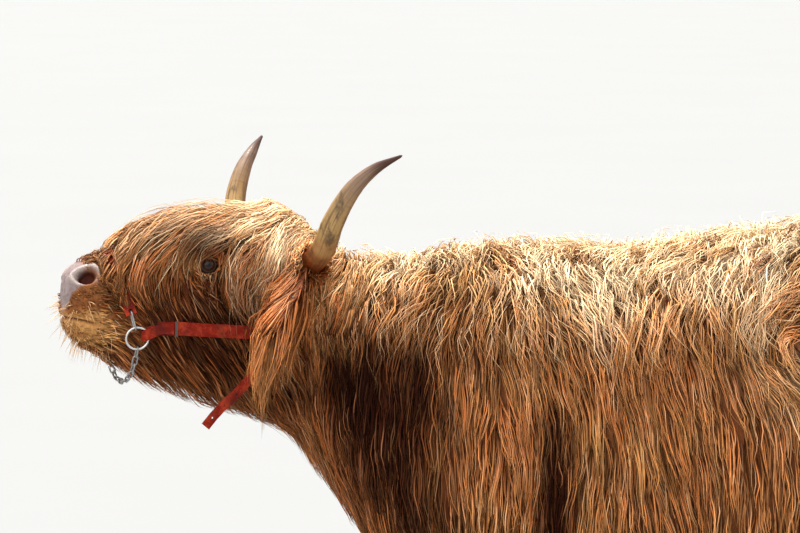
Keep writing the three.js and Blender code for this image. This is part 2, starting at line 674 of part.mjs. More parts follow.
function addRingAndFold(sideName, mirror) {
  const { point: centre, normal: outward } = ringSpot(mirror);
  const level = alongCoat(backward, outward);
  const ring = addMesh(`ring_${sideName}`, new THREE.TorusGeometry(RING_RADIUS, RING_WIRE, 5, 15), STEEL);
  orient(ring, centre, level, alongCoat(UP, outward));

  // The cheek strap's end turns round the ring and lies back over the strap.
  const slope = level.clone().multiplyScalar(Math.cos(FOLD_SLOPE));
  slope.addScaledVector(alongCoat(UP, outward), Math.sin(FOLD_SLOPE));
  const wire = centre.clone().addScaledVector(slope, RING_RADIUS);
  const bend = RING_WIRE + HALF_THICK + 1.4;
  const near = (along, out) => wire.clone().addScaledVector(slope, along).addScaledVector(outward, out);
  const rounded = bend * Math.SQRT1_2;
  const path = [
    sidePoint(mirror, 155, 1014.5, 3),
    near(5, -bend),
    near(FOLD_START, -bend),
    near(FOLD_START - rounded, -rounded),
    near(FOLD_START - bend, 0),
    near(FOLD_START - rounded, rounded),
    near(FOLD_START, bend),
    near(6, bend),
    sidePoint(mirror, 166, 1016.5, 8.6),
    sidePoint(mirror, 190, 1015.5, 3.2),
  ];
  addMesh(`strap_fold_${sideName}`, freeStrap(path, () => UP, FOLD_WIDTH, 14), STRAP);
  const keeper = addMesh(`keeper_${sideName}`, new THREE.BoxGeometry(5, CHEEK_WIDTH + 3, 2.4), STRAP_DARK);
  const spot = sideSpot(mirror, 195, 1015.2, 2);
  orient(keeper, spot.point, alongCoat(backward, spot.normal), alongCoat(UP, spot.normal));
}

// The link between the noseband's eyelet and the ring.
const eyelet = (mirror) => sidePoint(mirror, 108.3, 1051.5, 6.4);
function addNoseLink(sideName, mirror) {
  const hole = eyelet(mirror);
  const { point: centre, normal } = ringSpot(mirror);
  const wire = centre.clone().addScaledVector(alongCoat(hole.clone().sub(centre), normal), RING_RADIUS);
  const past = RING_WIRE + LINK_WIRE + 2 * GAP;
  const span = hole.distanceTo(wire) + past;
  const direction = hole.clone().sub(wire).normalize();
  const middle = hole.clone().addScaledVector(direction, -span / 2);
  const link = addMesh(`nose_link_${sideName}`, makeLink(span + 2 * LINK_WIRE, LINK_WIDTH, LINK_WIRE), STEEL);
  orient(link, middle, direction, headDirection(mirror, 0));
}

// The chain hangs from ring to ring under the jaw, each link turned a quarter to the one before.
function addChain() {
  const under = [-46, -66, -90, -114, -134].map(
    (degrees) => overHead(RING_PLACE.back, THREE.MathUtils.degToRad(degrees), LINK_WIDTH / 2 + 3).point,
  );
  const ends = [1, -1].map((mirror) => {
    const { point, normal } = ringSpot(mirror);
    return point.addScaledVector(alongCoat(UP, normal), -RING_RADIUS);
  });
  const path = new THREE.CatmullRomCurve3([ends[0], ...under, ends[1]]);
  const inset = LINK_LENGTH / 2 - 2 * LINK_WIRE - RING_WIRE - 2 * GAP;
  const longest = LINK_LENGTH - 4 * LINK_WIRE - GAP;
  const length = path.getLength();
  const gaps = 2 * Math.ceil((length - 2 * inset) / longest / 2);
  spread(gaps + 1, inset / length, 1 - inset / length, (share) => share).forEach((share, i) => {
    const link = addMesh(`chain_link_${i + 1}`, makeLink(LINK_LENGTH, LINK_WIDTH, LINK_WIRE), STEEL);
    const tangent = path.getTangentAt(share);
    const outOfJaw = tangent.clone().cross(backward);
    orient(link, path.getPointAt(share), tangent, i % 2 ? backward : outOfJaw);
  });
}

// A round hole through a strap, its axis along a direction.
function punchHole(shape, point, direction, radius, sides) {
  const punch = new THREE.CylinderGeometry(radius, radius, 4 * STRAP_THICK, sides);
  const turn = new THREE.Quaternion().setFromUnitVectors(new THREE.Vector3(0, 1, 0), direction);
  const place = new THREE.Matrix4().makeRotationFromQuaternion(turn).setPosition(point);
  return shape.subtract(solid(punch, place));
}

// The strap's free end, hanging from the buckle on the left cheek, with a row of punched holes.
const FREE_END = [
  [150, 378, 992],
  [150, 366, 972],
  [144, 346, 940],
  [134, 316, 900],
  [124, 272, 858],
  [117, 246, 826],
];
function addFreeEnd() {
  const points = FREE_END.map((place) => fromHead(...place));
  const side = headDirection(1, 0);
  let strap = solid(freeStrap(points, (along) => along.clone().cross(side), END_STRAP_WIDTH, 9));
  const path = new THREE.CatmullRomCurve3(points);
  for (const share of [0.6, 0.75, 0.9]) strap = punchHole(strap, path.getPointAt(share), side, 2.4, 6);
  addMesh("strap_end", geometryOf(strap), STRAP);
  const buckle = addMesh("buckle", makeLink(36, 30, LINK_WIRE), STEEL);
  const spot = sideSpot(1, 372, 1001, LINK_WIRE - HALF_THICK);
  orient(buckle, spot.point, alongCoat(backward, spot.normal), alongCoat(UP, spot.normal));
}

function addNoseband() {
  const band = headBand(NOSE_BAND_STOPS, NOSE_WIDTH, -HALF_THICK, HALF_THICK, NOSE_BAND_STEPS);
  let shape = solid(band);
  for (const mirror of Object.values(SIDES))
    shape = punchHole(shape, eyelet(mirror), headDirection(mirror, 0), 4.4, 8);
  addMesh("noseband", geometryOf(shape), STRAP);
}

for (const [sideName, mirror] of Object.entries(SIDES)) {
  addRingAndFold(sideName, mirror);
  addNoseLink(sideName, mirror);
}
addNoseband();
addChain();
addFreeEnd();

// The origin is on the ground, under the middle of the whole animal.
const bounds = new THREE.Box3().setFromObject(cow);
const middle = bounds.getCenter(new THREE.Vector3());
cow.position.set(-middle.x, -middle.y, -bounds.min.z);

export default cow;
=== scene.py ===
"""A life-size highland cow: skin, long coat, horns, hooves, eyes and halter over the solid frame."""

import math

import bmesh
import bpy
import numpy as np
from bpy.props import (
    FloatProperty,
    FloatVectorProperty,
    IntProperty,
    PointerProperty,
)
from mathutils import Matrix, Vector
from mathutils.bvhtree import BVHTree
from mathutils.kdtree import KDTree


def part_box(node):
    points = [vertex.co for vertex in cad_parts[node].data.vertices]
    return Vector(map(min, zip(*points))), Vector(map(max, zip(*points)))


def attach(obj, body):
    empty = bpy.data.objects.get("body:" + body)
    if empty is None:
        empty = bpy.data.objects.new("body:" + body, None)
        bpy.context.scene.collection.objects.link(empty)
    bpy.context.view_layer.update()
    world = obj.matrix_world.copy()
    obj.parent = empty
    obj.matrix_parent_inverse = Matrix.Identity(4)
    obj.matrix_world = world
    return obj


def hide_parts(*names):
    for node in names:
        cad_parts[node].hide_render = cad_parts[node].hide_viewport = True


bl_info = {
    "name": "Highland Cow",
    "version": (1, 0, 0),
    "blender": (4, 5, 0),
    "location": "View3D > Sidebar > Highland Cow",
    "description": "Skin, coat, horns, hooves, eyes and halter of a standing highland cow",
    "category": "Object",
}

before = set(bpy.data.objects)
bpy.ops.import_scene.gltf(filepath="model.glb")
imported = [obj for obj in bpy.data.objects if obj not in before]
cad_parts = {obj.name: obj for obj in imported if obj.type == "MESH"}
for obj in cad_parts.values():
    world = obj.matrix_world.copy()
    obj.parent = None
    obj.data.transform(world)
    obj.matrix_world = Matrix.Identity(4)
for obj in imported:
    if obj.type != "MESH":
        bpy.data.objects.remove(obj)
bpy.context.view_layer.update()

# ---- Places, in metres, most of them taken from the frame -----------------------------------

LEGS = ("front_left", "front_right", "hind_left", "hind_right")
LEG_NODES = tuple(f"leg_{leg}" for leg in LEGS)
BODY_NODES = ("head", "neck", "trunk", "tail", "udder") + LEG_NODES
EAR_NODES = ("ear_left", "ear_right")
FLESH_NODES = BODY_NODES + EAR_NODES
CLAW_NODES = tuple(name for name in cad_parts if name.startswith("claw_"))
DEWCLAW_NODES = tuple(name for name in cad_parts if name.startswith("dewclaw_"))
LINK_NODES = tuple(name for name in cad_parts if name.startswith(("chain_link", "nose_link")))
RING_NODES = ("ring_left", "ring_right")
STRAP_NODES = (
    "cheek_strap_left",
    "cheek_strap_right",
    "crown_strap",
    "noseband",
    "strap_end",
    "strap_fold_left",
    "strap_fold_right",
)
KEEPER_NODES = ("keeper_left", "keeper_right")

DOWN = np.array([0.0, 0.0, -1.0])
TAILWARD = np.array([0.0, 1.0, 0.0])
# How far the tip of the nose lies in front of the line between the eyes.
NOSE_TO_EYES = 0.264
# The point in front of the shoulder that the camera looks at.
AIM = Vector((0.0063, -0.3603, 1.118))
# Middle of the left horn's root, from the nose: to the side, back, and up from the floor.
HORN_ROOT = (0.085, 0.440, 1.140)


def middle_of(node):
    """The middle of a node's box."""
    low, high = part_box(node)
    return np.array((low + high) / 2)


EYE_LEFT = middle_of("eye_left")
EYE_RIGHT = middle_of("eye_right")
EYE_RADIUS = float(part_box("eye_left")[1].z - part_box("eye_left")[0].z) / 2
HEAD_SIDE = (EYE_LEFT - EYE_RIGHT) / np.linalg.norm(EYE_LEFT - EYE_RIGHT)
HEAD_BACK = np.array([-HEAD_SIDE[1], HEAD_SIDE[0], 0.0])
NOSE = (EYE_LEFT + EYE_RIGHT) / 2 - HEAD_BACK * NOSE_TO_EYES
NOSE[2] = 0.0


def to_head(points):
    """How far each point lies to the head's left, behind the nose and above the floor."""
    offset = points - NOSE
    return offset @ HEAD_SIDE, offset @ HEAD_BACK, points[:, 2]


def from_horn(points):
    """How far each point is from the root of the nearer horn."""
    side, back, height = to_head(points)
    return np.linalg.norm(np.column_stack([np.abs(side), back, height]) - HORN_ROOT, axis=1)


def from_head(side, back, height):
    """The place of a point given in the head's own directions."""
    return NOSE + HEAD_SIDE * side + HEAD_BACK * back + np.array([0.0, 0.0, height])


# ---- Sizes and colours ----------------------------------------------------------------------


def colour(name, description, value):
    """A colour that the panel shows."""
    return FloatVectorProperty(
        name=name, description=description, default=value, subtype="COLOR", min=0, max=1
    )


def length(name, description, value, top=1.0):
    """A length in metres, up to the top value."""
    return FloatProperty(
        name=name, description=description, default=value, min=0, max=top, unit="LENGTH"
    )


def share(name, description, value, top=1.0):
    """A plain number from 0 up to the top value."""
    return FloatProperty(name=name, description=description, default=value, min=0, max=top)


class CowSkinSettings(bpy.types.PropertyGroup):
    """The skin under the coat."""

    rough_step: length("Rough step", "Grain of the first shape of the body", 0.008, 0.05)
    fine_step: length("Fine step", "Grain of the finished skin away from the face", 0.0078, 0.05)
    lid: length("Lid", "Thickness of the eyelids", 0.0026, 0.01)
    nostril_depth: length("Nostril depth", "How far the nostrils go in", 0.021, 0.05)
    mouth_depth: length("Mouth depth", "How far the mouth line goes in", 0.006, 0.02)
    pad: colour("Nose pad", "Bare skin of the nose", (0.37, 0.275, 0.265))
    freckles: colour("Freckles", "Darker spots of the nose pad", (0.19, 0.125, 0.115))
    pad_rim: colour("Nostril rim", "Paler skin round the nostrils", (0.57, 0.47, 0.42))
    # Painted shade: near-black inside the nostrils and along the mouth line.
    inner: colour("Nostril", "Inside the nostrils and along the mouth", (0.070, 0.014, 0.009))
    lid_colour: colour("Lids", "Skin round the eyes", (0.060, 0.024, 0.015))
    udder: colour("Udder", "Bare skin of the udder", (0.50, 0.27, 0.21))


class CowCoatSettings(bpy.types.PropertyGroup):
    """The long coat."""

    seed: IntProperty(name="Seed", description="Which of many like coats is grown", default=7)
    density: share("Density", "Number of tufts against the full number", 1.0, 1.2)
    width: share("Tuft width", "Width of the tufts against the usual one", 1.0, 3.0)
    clump: length("Clump", "Distance between the locks that tufts gather in", 0.036, 0.2)
    gather: share("Gather", "How far the tufts of a lock come together at the tip", 0.78)
    fuzz: length("Fuzz", "How far tips may pass the outline of the solids", 0.008, 0.03)
    # Umber is partly darker hair and partly painted shade: on the neck, behind the elbows, above the
    # eyes, on the lower layers and between strands.
    umber: colour("Umber", "Hair in the deep shade of neck and throat", (0.021, 0.0048, 0.0021))
    # Brown roots: partly the hair's own colour, partly painted shade deep in the coat.
    brown: colour("Brown", "Roots of the coat", (0.125, 0.026, 0.0070))
    ginger: colour("Ginger", "Main colour of the coat", (0.58, 0.185, 0.054))
    rust: colour("Rust", "Redder patches", (0.58, 0.125, 0.020))
    # Straw and cream are partly paler hair and partly painted light: highlights on the upward faces
    # of crown, crest and back, and glow in the tips.
    straw: colour("Straw", "Sun-bleached tips", (0.92, 0.47, 0.150))
    cream: colour("Cream", "Palest hair along the back and over the poll", (1.0, 0.80, 0.52))


class CowHornSettings(bpy.types.PropertyGroup):
    """Horns and hooves."""

    amber: colour("Horn base", "Warm colour near the skull", (0.25, 0.052, 0.003))
    ivory: colour("Horn middle", "Pale middle of the horn", (0.40, 0.245, 0.090))
    worn: colour("Horn outer half", "Greyer horn before the tip", (0.22, 0.140, 0.095))
    dark: colour("Horn tip", "Dark worn tip", (0.060, 0.024, 0.016))
    stain: colour("Stains", "Smoky clouds of the horn", (0.060, 0.040, 0.022))
    streak: colour("Streaks", "Brown lines along the horn", (0.105, 0.050, 0.028))
    ring: colour("Rings", "Faint dark bands round the horn", (0.075, 0.045, 0.025))
    hoof: colour("Hoof", "Wall of the hoof", (0.040, 0.028, 0.022))
    hoof_pale: colour("Hoof streaks", "Paler growth rings", (0.14, 0.105, 0.078))
    dust: colour("Dust", "Dusty wear near the ground", (0.26, 0.20, 0.15))


class CowEyeSettings(bpy.types.PropertyGroup):
    """The eyeballs."""

    iris: colour("Iris", "Dark ground of the iris", (0.018, 0.007, 0.005))
    iris_pale: colour("Iris spokes", "Paler spokes of the iris", (0.060, 0.024, 0.012))
    white: colour("White", "Dark parts of the white round the iris", (0.060, 0.030, 0.022))
    white_pale: colour("White, pale", "Pale parts of the white", (0.15, 0.095, 0.075))
    pupil: colour("Pupil", "Bluish black of the pupil", (0.004, 0.005, 0.009))


class CowTackSettings(bpy.types.PropertyGroup):
    """The halter."""

    red: colour("Strap", "Dyed webbing of the halter", (0.19, 0.009, 0.003))
    # Paler red in patches: partly faded dye, partly painted sheen.
    worn: colour("Worn edge", "Faded edges of the straps", (0.42, 0.046, 0.018))
    grime: colour("Grime", "Dirt in the straps", (0.085, 0.010, 0.007))
    keeper: colour("Keeper", "Dark loop round the cheek strap", (0.035, 0.030, 0.028))
    scuff: colour("Scuffs", "Rubbed places of the loop", (0.13, 0.085, 0.06))
    steel: colour("Steel", "Rings and links", (0.62, 0.61, 0.59))
    tarnish: colour("Tarnish", "Spots of rust on the steel", (0.085, 0.045, 0.028))
    edge: length("Edge", "Rounding of the strap edges", 0.0011, 0.01)


class CowStageSettings(bpy.types.PropertyGroup):
    """Floor, light and camera."""

    floor: colour("Floor", "Pale studio floor", (0.25, 0.25, 0.245))
    sky: share("Sky", "Strength of the even light all round", 0.56, 5.0)
    key: share("Key", "Strength of the high light from above", 8.2, 20.0)
    fill: share("Fill", "Strength of the soft light from the side", 2.0, 20.0)
    distance: length("Distance", "From the camera to the shoulder", 9.0, 50.0)
    elevation: FloatProperty(
        name="Elevation",
        description="Angle of the camera above the horizon",
        default=math.radians(5.0),
        subtype="ANGLE",
    )
    lens: FloatProperty(name="Lens", description="Focal length in mm", default=206.5, min=20)


# ---- Small tools ----------------------------------------------------------------------------


def unit(vectors):
    """Vectors of length one."""
    size = np.linalg.norm(vectors, axis=-1, keepdims=True)
    return vectors / np.maximum(size, 1e-9)


def ease(value, low, high):
    """0 below low, 1 above high, and a smooth rise between."""
    t = np.clip((value - low) / (high - low), 0.0, 1.0)
    return t * t * (3 - 2 * t)


def bell(value, centre, width):
    """1 at the centre, falling smoothly to nothing about two widths away."""
    return np.exp(-(((value - centre) / width) ** 2))


def mix(a, b, share_of_b):
    """a where the share is 0, b where it is 1."""
    return a + (b - a) * share_of_b


def along_rows(rows, at, column):
    """Reads one column of a few rows at any place between them."""
    return np.interp(at, [row[0] for row in rows], [row[column] for row in rows])


class Noise:
    """Smooth noise in space, from -1 to 1, the same on every run."""

    table_size = 4096
    # Large primes that spread neighbouring cells over the whole table.
    primes = (73856093, 19349663, 83492791)

    def __init__(self, seed):
        self.table = np.random.default_rng(seed).random(self.table_size) * 2 - 1

    def corner(self, cell):
        """The number that belongs to each corner of the grid."""
        x, y, z = (cell * self.primes).T
        return self.table[(x ^ y ^ z) % self.table_size]

    def at(self, points, size):
        """Noise whose bumps are about this size."""
        scaled = points / size
        base = np.floor(scaled).astype(np.int64)
        part = scaled - base
        part = part * part * (3 - 2 * part)
        total = np.zeros(len(points))
        for step in np.ndindex(2, 2, 2):
            weight = np.prod(np.where(step, part, 1 - part), axis=1)
            total += weight * self.corner(base + np.array(step))
        return total


def crosses(points, triangles):
    """For each triangle, its normal with the length of twice its area."""
    corners = points[triangles]
    return np.cross(corners[:, 1] - corners[:, 0], corners[:, 2] - corners[:, 0])


class Surface:
    """Triangles on which points can be dropped."""

    def __init__(self, points, triangles):
        self.points = points
        self.triangles = triangles
        self.tree = BVHTree.FromPolygons(points.tolist(), triangles.tolist())
        cross = crosses(points, triangles)
        self.areas = np.linalg.norm(cross, axis=1) / 2
        self.face_normals = unit(cross)
        self.normals = spread_to_corners(cross, triangles, len(points))

    def drop(self, places):
        """The nearest spot and face for each place."""
        hits = [self.tree.find_nearest(place)[::2] for place in places.tolist()]
        spots = np.array([tuple(hit[0]) for hit in hits])
        return spots, np.array([hit[1] for hit in hits])

    def height(self, places):
        """How far each place stands off the surface; the nearest spot, its normal and face."""
        spots, faces = self.drop(places)
        normals = unit(self.normals[self.triangles[faces]].mean(axis=1))
        return np.einsum("ij,ij->i", places - spots, normals), spots, normals, faces


def spread_to_corners(values, triangles, count):
    """Sums the values of the faces at their corners, made unit vectors."""
    total = np.zeros((count, 3))
    for corner in range(3):
        for axis in range(3):
            total[:, axis] += np.bincount(triangles[:, corner], values[:, axis], count)
    return unit(total)


def soften(values, edges, count, times, strength=0.5):
    """Averages the values of neighbouring points, several times."""
    values = values.reshape(count, -1).astype(float)
    ends = np.concatenate([edges, edges[:, ::-1]])
    number = np.maximum(np.bincount(ends[:, 0], minlength=count), 1)[:, None]
    for _ in range(times):
        near = np.stack(
            [np.bincount(ends[:, 0], column[ends[:, 1]], count) for column in values.T], axis=1
        )
        values = values + (near / number - values) * strength
    return values


def triangles_of(mesh):
    """Points and triangles of a mesh as arrays."""
    mesh.calc_loop_triangles()
    points = np.zeros(len(mesh.vertices) * 3)
    mesh.vertices.foreach_get("co", points)
    triangles = np.zeros(len(mesh.loop_triangles) * 3, np.int32)
    mesh.loop_triangles.foreach_get("vertices", triangles)
    return points.reshape(-1, 3), triangles.reshape(-1, 3)


def edges_of(mesh):
    """The ends of a mesh's edges."""
    edges = np.zeros(len(mesh.edges) * 2, np.int32)
    mesh.edges.foreach_get("vertices", edges)
    return edges.reshape(-1, 2)


def joined(groups):
    """Joins several (points, faces) into one."""
    points, faces, start = [], [], 0
    for some_points, some_faces in groups:
        points.append(some_points)
        faces.append(np.asarray(some_faces) + start)
        start += len(some_points)
    return np.concatenate(points), np.concatenate(faces)


def mesh_from(name, points, faces):
    """A smooth mesh from arrays of points and of faces with equally many corners."""
    mesh = bpy.data.meshes.new(name)
    corners = faces.shape[1]
    mesh.vertices.add(len(points))
    mesh.vertices.foreach_set("co", np.asarray(points, np.float32).ravel())
    mesh.loops.add(faces.size)
    mesh.loops.foreach_set("vertex_index", np.asarray(faces, np.int32).ravel())
    mesh.polygons.add(len(faces))
    starts = np.arange(0, faces.size, corners, dtype=np.int32)
    mesh.polygons.foreach_set("loop_start", starts)
    mesh.update(calc_edges=True)
    mesh.validate()
    mesh.shade_smooth()
    return mesh


def set_values(mesh, name, values):
    """Stores one number for each point of a mesh."""
    layer = mesh.attributes.new(name, "FLOAT", "POINT")
    layer.data.foreach_set("value", np.asarray(values, np.float32))


def put_in_scene(name, data):
    """A new object in the scene with this mesh, light or camera."""
    thing = bpy.data.objects.new(name, data)
    bpy.context.scene.collection.objects.link(thing)
    return thing


def add_piece(name, mesh, material, replaced=()):
    """Puts a mesh in the scene as a piece of the cow."""
    piece = put_in_scene(name, mesh)
    piece.data.materials.append(material)
    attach(piece, "root")
    if replaced:
        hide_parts(*replaced)
    return piece


def remeshed(mesh, step):
    """The mesh as one closed skin with faces of about this size."""
    holder = put_in_scene("holder", mesh)
    remesh = holder.modifiers.new("one skin", "REMESH")
    remesh.mode = "VOXEL"
    remesh.voxel_size = step
    shown = holder.evaluated_get(bpy.context.evaluated_depsgraph_get())
    made = bpy.data.meshes.new_from_object(shown)
    bpy.data.objects.remove(holder)
    return made


def node_triangles(names):
    """Points and triangles of some nodes of the frame, joined."""
    return joined([triangles_of(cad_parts[name].data) for name in names])


def loft(rings, closed_ends=True):
    """A tube of quads through rings of equally many points, with its ends filled or open."""
    rings = np.asarray(rings)
    count, sides, _ = rings.shape
    points = rings.reshape(-1, 3)
    faces = []
    for ring in range(count - 1):
        for side in range(sides):
            a, b = ring * sides + side, ring * sides + (side + 1) % sides
            faces.append((a, b, b + sides, a + sides))
    if closed_ends:
        first, last = len(points), len(points) + 1
        points = np.concatenate([points, rings[:1].mean(axis=1), rings[-1:].mean(axis=1)])
        for side in range(sides):
            a, b = side, (side + 1) % sides
            faces.append((first, b, a, a))
            a, b = (count - 1) * sides + side, (count - 1) * sides + (side + 1) % sides
            faces.append((last, a, b, b))
    return points, faces


def face_list_mesh(name, points, faces):
    """A smooth mesh from faces of three or four corners."""
    mesh = bpy.data.meshes.new(name)
    clean = [tuple(dict.fromkeys(face)) for face in faces]
    mesh.from_pydata([tuple(point) for point in points], [], clean)
    mesh.validate()
    mesh.shade_smooth()
    return mesh


def curve_through(points, steps):
    """Points along a smooth curve through a few places, and its directions."""
    points = np.asarray(points, float)
    padded = np.concatenate([[2 * points[0] - points[1]], points, [2 * points[-1] - points[-2]]])
    places = np.linspace(0, len(points) - 1, steps)
    index = np.minimum(places.astype(int), len(points) - 2)
    t = (places - index)[:, None]
    a, b, c, d = (padded[index + shift] for shift in range(4))
    path = 0.5 * (
        2 * b + (c - a) * t + (2 * a - 5 * b + 4 * c - d) * t**2 + (3 * b - a - 3 * c + d) * t**3
    )
    return path, unit(np.gradient(path, axis=0))


# ---- Materials ------------------------------------------------------------------------------


class Wire:
    """An output in a material; arithmetic on it adds Math nodes."""

    def __init__(self, finish, socket):
        self.finish = finish
        self.socket = socket

    def maths(self, operation, *values):
        """A Math node fed with wires or numbers."""
        inputs = dict(enumerate(values))
        return self.finish.node("ShaderNodeMath", {"operation": operation}, inputs)

    def __add__(self, other):
        return self.maths("ADD", self, other)

    __radd__ = __add__

    def __sub__(self, other):
        return self.maths("SUBTRACT", self, other)

    def __rsub__(self, other):
        return self.maths("SUBTRACT", other, self)

    def __mul__(self, other):
        return self.maths("MULTIPLY", self, other)

    __rmul__ = __mul__

    def __truediv__(self, other):
        return self.maths("DIVIDE", self, other)


class Finish:
    """A material under construction."""

    def __init__(self, name):
        self.material = bpy.data.materials.new(name)
        self.material.use_nodes = True
        self.tree = self.material.node_tree
        self.shader = self.tree.nodes["Principled BSDF"]

    def node(self, kind, settings=None, inputs=None, output=0):
        """Adds a node, sets it up, then feeds its sockets with values or wires."""
        node = self.tree.nodes.new(kind)
        for name, value in (settings or {}).items():
            setattr(node, name, value)
        for name, value in (inputs or {}).items():
            self.feed(node.inputs[name], value)
        return Wire(self, node.outputs[output])

    def feed(self, socket, value):
        """Links a wire to a socket or sets its value."""
        if isinstance(value, Wire):
            self.tree.links.new(value.socket, socket)
        elif socket.type == "RGBA" and len(value) == 3:
            socket.default_value = (*value, 1)
        else:
            socket.default_value = value

    def set(self, name, value):
        """Sets or links one socket of the shader."""
        self.feed(self.shader.inputs[name], value)

    def place(self):
        """Place on the object in metres, as its mesh has it."""
        return self.node("ShaderNodeTexCoord", output="Object")

    def value(self, name):
        """A number stored at the mesh's points."""
        return self.node("ShaderNodeAttribute", {"attribute_name": name}, output="Fac")

    def vector(self, x, y, z=0.0):
        """A place made of three numbers or wires."""
        return self.node("ShaderNodeCombineXYZ", None, {"X": x, "Y": y, "Z": z})

    def scaled(self, vector, scale):
        """The sockets of a texture: its place, and its scale, which three numbers stretch."""
        if isinstance(scale, tuple):
            inputs = {0: vector, 1: scale}
            vector = self.node("ShaderNodeVectorMath", {"operation": "MULTIPLY"}, inputs)
            scale = 1.0
        return {"Vector": vector, "Scale": scale}

    def noise(self, vector, scale, detail=3.0, rough=0.5):
        """Cloudy noise from 0 to 1."""
        inputs = {**self.scaled(vector, scale), "Detail": detail, "Roughness": rough}
        return self.node("ShaderNodeTexNoise", None, inputs)

    def cells(self, vector, scale, feature="F1"):
        """Distance to the nearest of many scattered spots, or to the cell's edge."""
        inputs = self.scaled(vector, scale)
        return self.node("ShaderNodeTexVoronoi", {"feature": feature}, inputs, "Distance")

    def ramp(self, value, low, high):
        """0 below low, 1 above high."""
        inputs = {"Value": value, "From Min": low, "From Max": high}
        return self.node("ShaderNodeMapRange", {"interpolation_type": "SMOOTHSTEP"}, inputs)

    def blend(self, first, second, factor):
        """One colour over another."""
        inputs = {"Factor": factor, 6: first, 7: second}
        return self.node("ShaderNodeMix", {"data_type": "RGBA"}, inputs, 2)

    def shaded(self, base, factor):
        """A colour made darker or lighter by a number."""
        inputs = {0: base, "Scale": factor}
        return self.node("ShaderNodeVectorMath", {"operation": "SCALE"}, inputs)

    def bump(self, height, distance, strength=1.0):
        """Relief of this depth in metres; a bump feeds the shader's normal."""
        inputs = {"Height": height, "Distance": distance, "Strength": strength}
        self.set("Normal", self.node("ShaderNodeBump", None, inputs))


def coat_colours(finish, along, tone, variety):
    """Hair colour from the markings, for skin and tufts alike."""
    coat = bpy.context.scene.cow_coat
    base = finish.blend(coat.ginger, coat.rust, finish.value("rust") * variety)
    base = finish.blend(base, coat.straw, finish.value("straw"))
    base = finish.blend(base, coat.cream, finish.value("cream"))
    base = finish.blend(base, coat.umber, finish.value("umber"))
    # Dark roots: partly the hair's own colour, partly painted shade deep in the coat; less in the
    # cream, as painted glow.
    roots = 1 - finish.ramp(along, 0.0, 0.50)
    base = finish.blend(base, coat.brown, roots * (1 - finish.value("cream") * 0.75) * 0.80)
    # Tone darkens towards umber: random tone of locks, and painted shade on the lower layers; the
    # cream share lifts it as painted glow of backlit pale hair.
    base = finish.blend(coat.umber, base, 0.36 + tone * 0.64 + finish.value("cream") * 0.45)
    return finish.shaded(base, 0.74 + tone * 0.72)


def coat_finish():
    """Tufts: dark roots, pale tips and fine streaks; partly painted shade in roots and gaps, painted
    glow in the tips.
    """
    finish = Finish("coat")
    along, across, tone = finish.value("along"), finish.value("across"), finish.value("tone")
    strands = finish.noise(finish.vector(across * 4.2, along * 1.4, tone * 53.0), 1.0, 2.0)
    streaks = finish.ramp(strands, 0.34, 0.66)
    base = coat_colours(finish, along, tone, streaks)
    coat = bpy.context.scene.cow_coat
    dull = (1 - finish.value("umber")) * (1 - finish.value("rust") * 0.55)
    # Pale tips: partly sun-bleached hair, partly painted glow of light through the tips.
    bleach_and_glow = along * along * streaks * dull * 0.72
    base = finish.blend(base, coat.straw, bleach_and_glow)
    # Darker towards umber between the streaks: painted shade in the gaps between strands, less of it
    # in the cream as painted glow.
    base = finish.blend(coat.umber, base, 0.52 + streaks * 0.48 + finish.value("cream") * 0.25)
    finish.set("Base Color", finish.shaded(base, 0.86 + streaks * 0.34))
    finish.set("Roughness", 0.46 + strands * 0.18)
    finish.set("Specular IOR Level", 0.05)
    finish.bump(strands, 0.0006)
    return finish.material


def skin_finish():
    """Skin under the coat: flat short hair as relief, bare nose pad, lids, nostrils and udder."""
    finish = Finish("skin")
    look = bpy.context.scene.cow_skin
    place = finish.place()
    hair = finish.noise(place, (330.0, 330.0, 90.0))
    patches = finish.noise(place, 26.0)
    base = coat_colours(finish, finish.value("short"), hair * 0.55 + patches * 0.15, patches)
    bare = finish.value("pad")
    freckles = finish.ramp(finish.noise(place, 95.0, 4.0), 0.50, 0.66)
    pad = finish.blend(look.pad, look.freckles, freckles * 0.6)
    pad = finish.blend(pad, look.pad_rim, finish.value("rim"))
    base = finish.blend(base, pad, bare)
    base = finish.blend(base, look.udder, finish.value("udder"))
    base = finish.blend(base, look.lid_colour, finish.value("lids"))
    # Painted shade inside the nostrils and along the mouth line.
    base = finish.blend(base, look.inner, finish.value("inner"))
    finish.set("Base Color", base)
    finish.set("Specular IOR Level", 0.14)
    finish.set("Roughness", 0.66 - bare * 0.30 + hair * 0.1)
    finish.set("Coat Weight", bare * 0.25)
    finish.set("Coat Roughness", 0.28)
    grain = finish.cells(place, 420.0, "DISTANCE_TO_EDGE")
    finish.bump(hair * (1 - bare) + finish.ramp(grain, 0.0, 0.25) * bare * 0.75, 0.0014)
    return finish.material


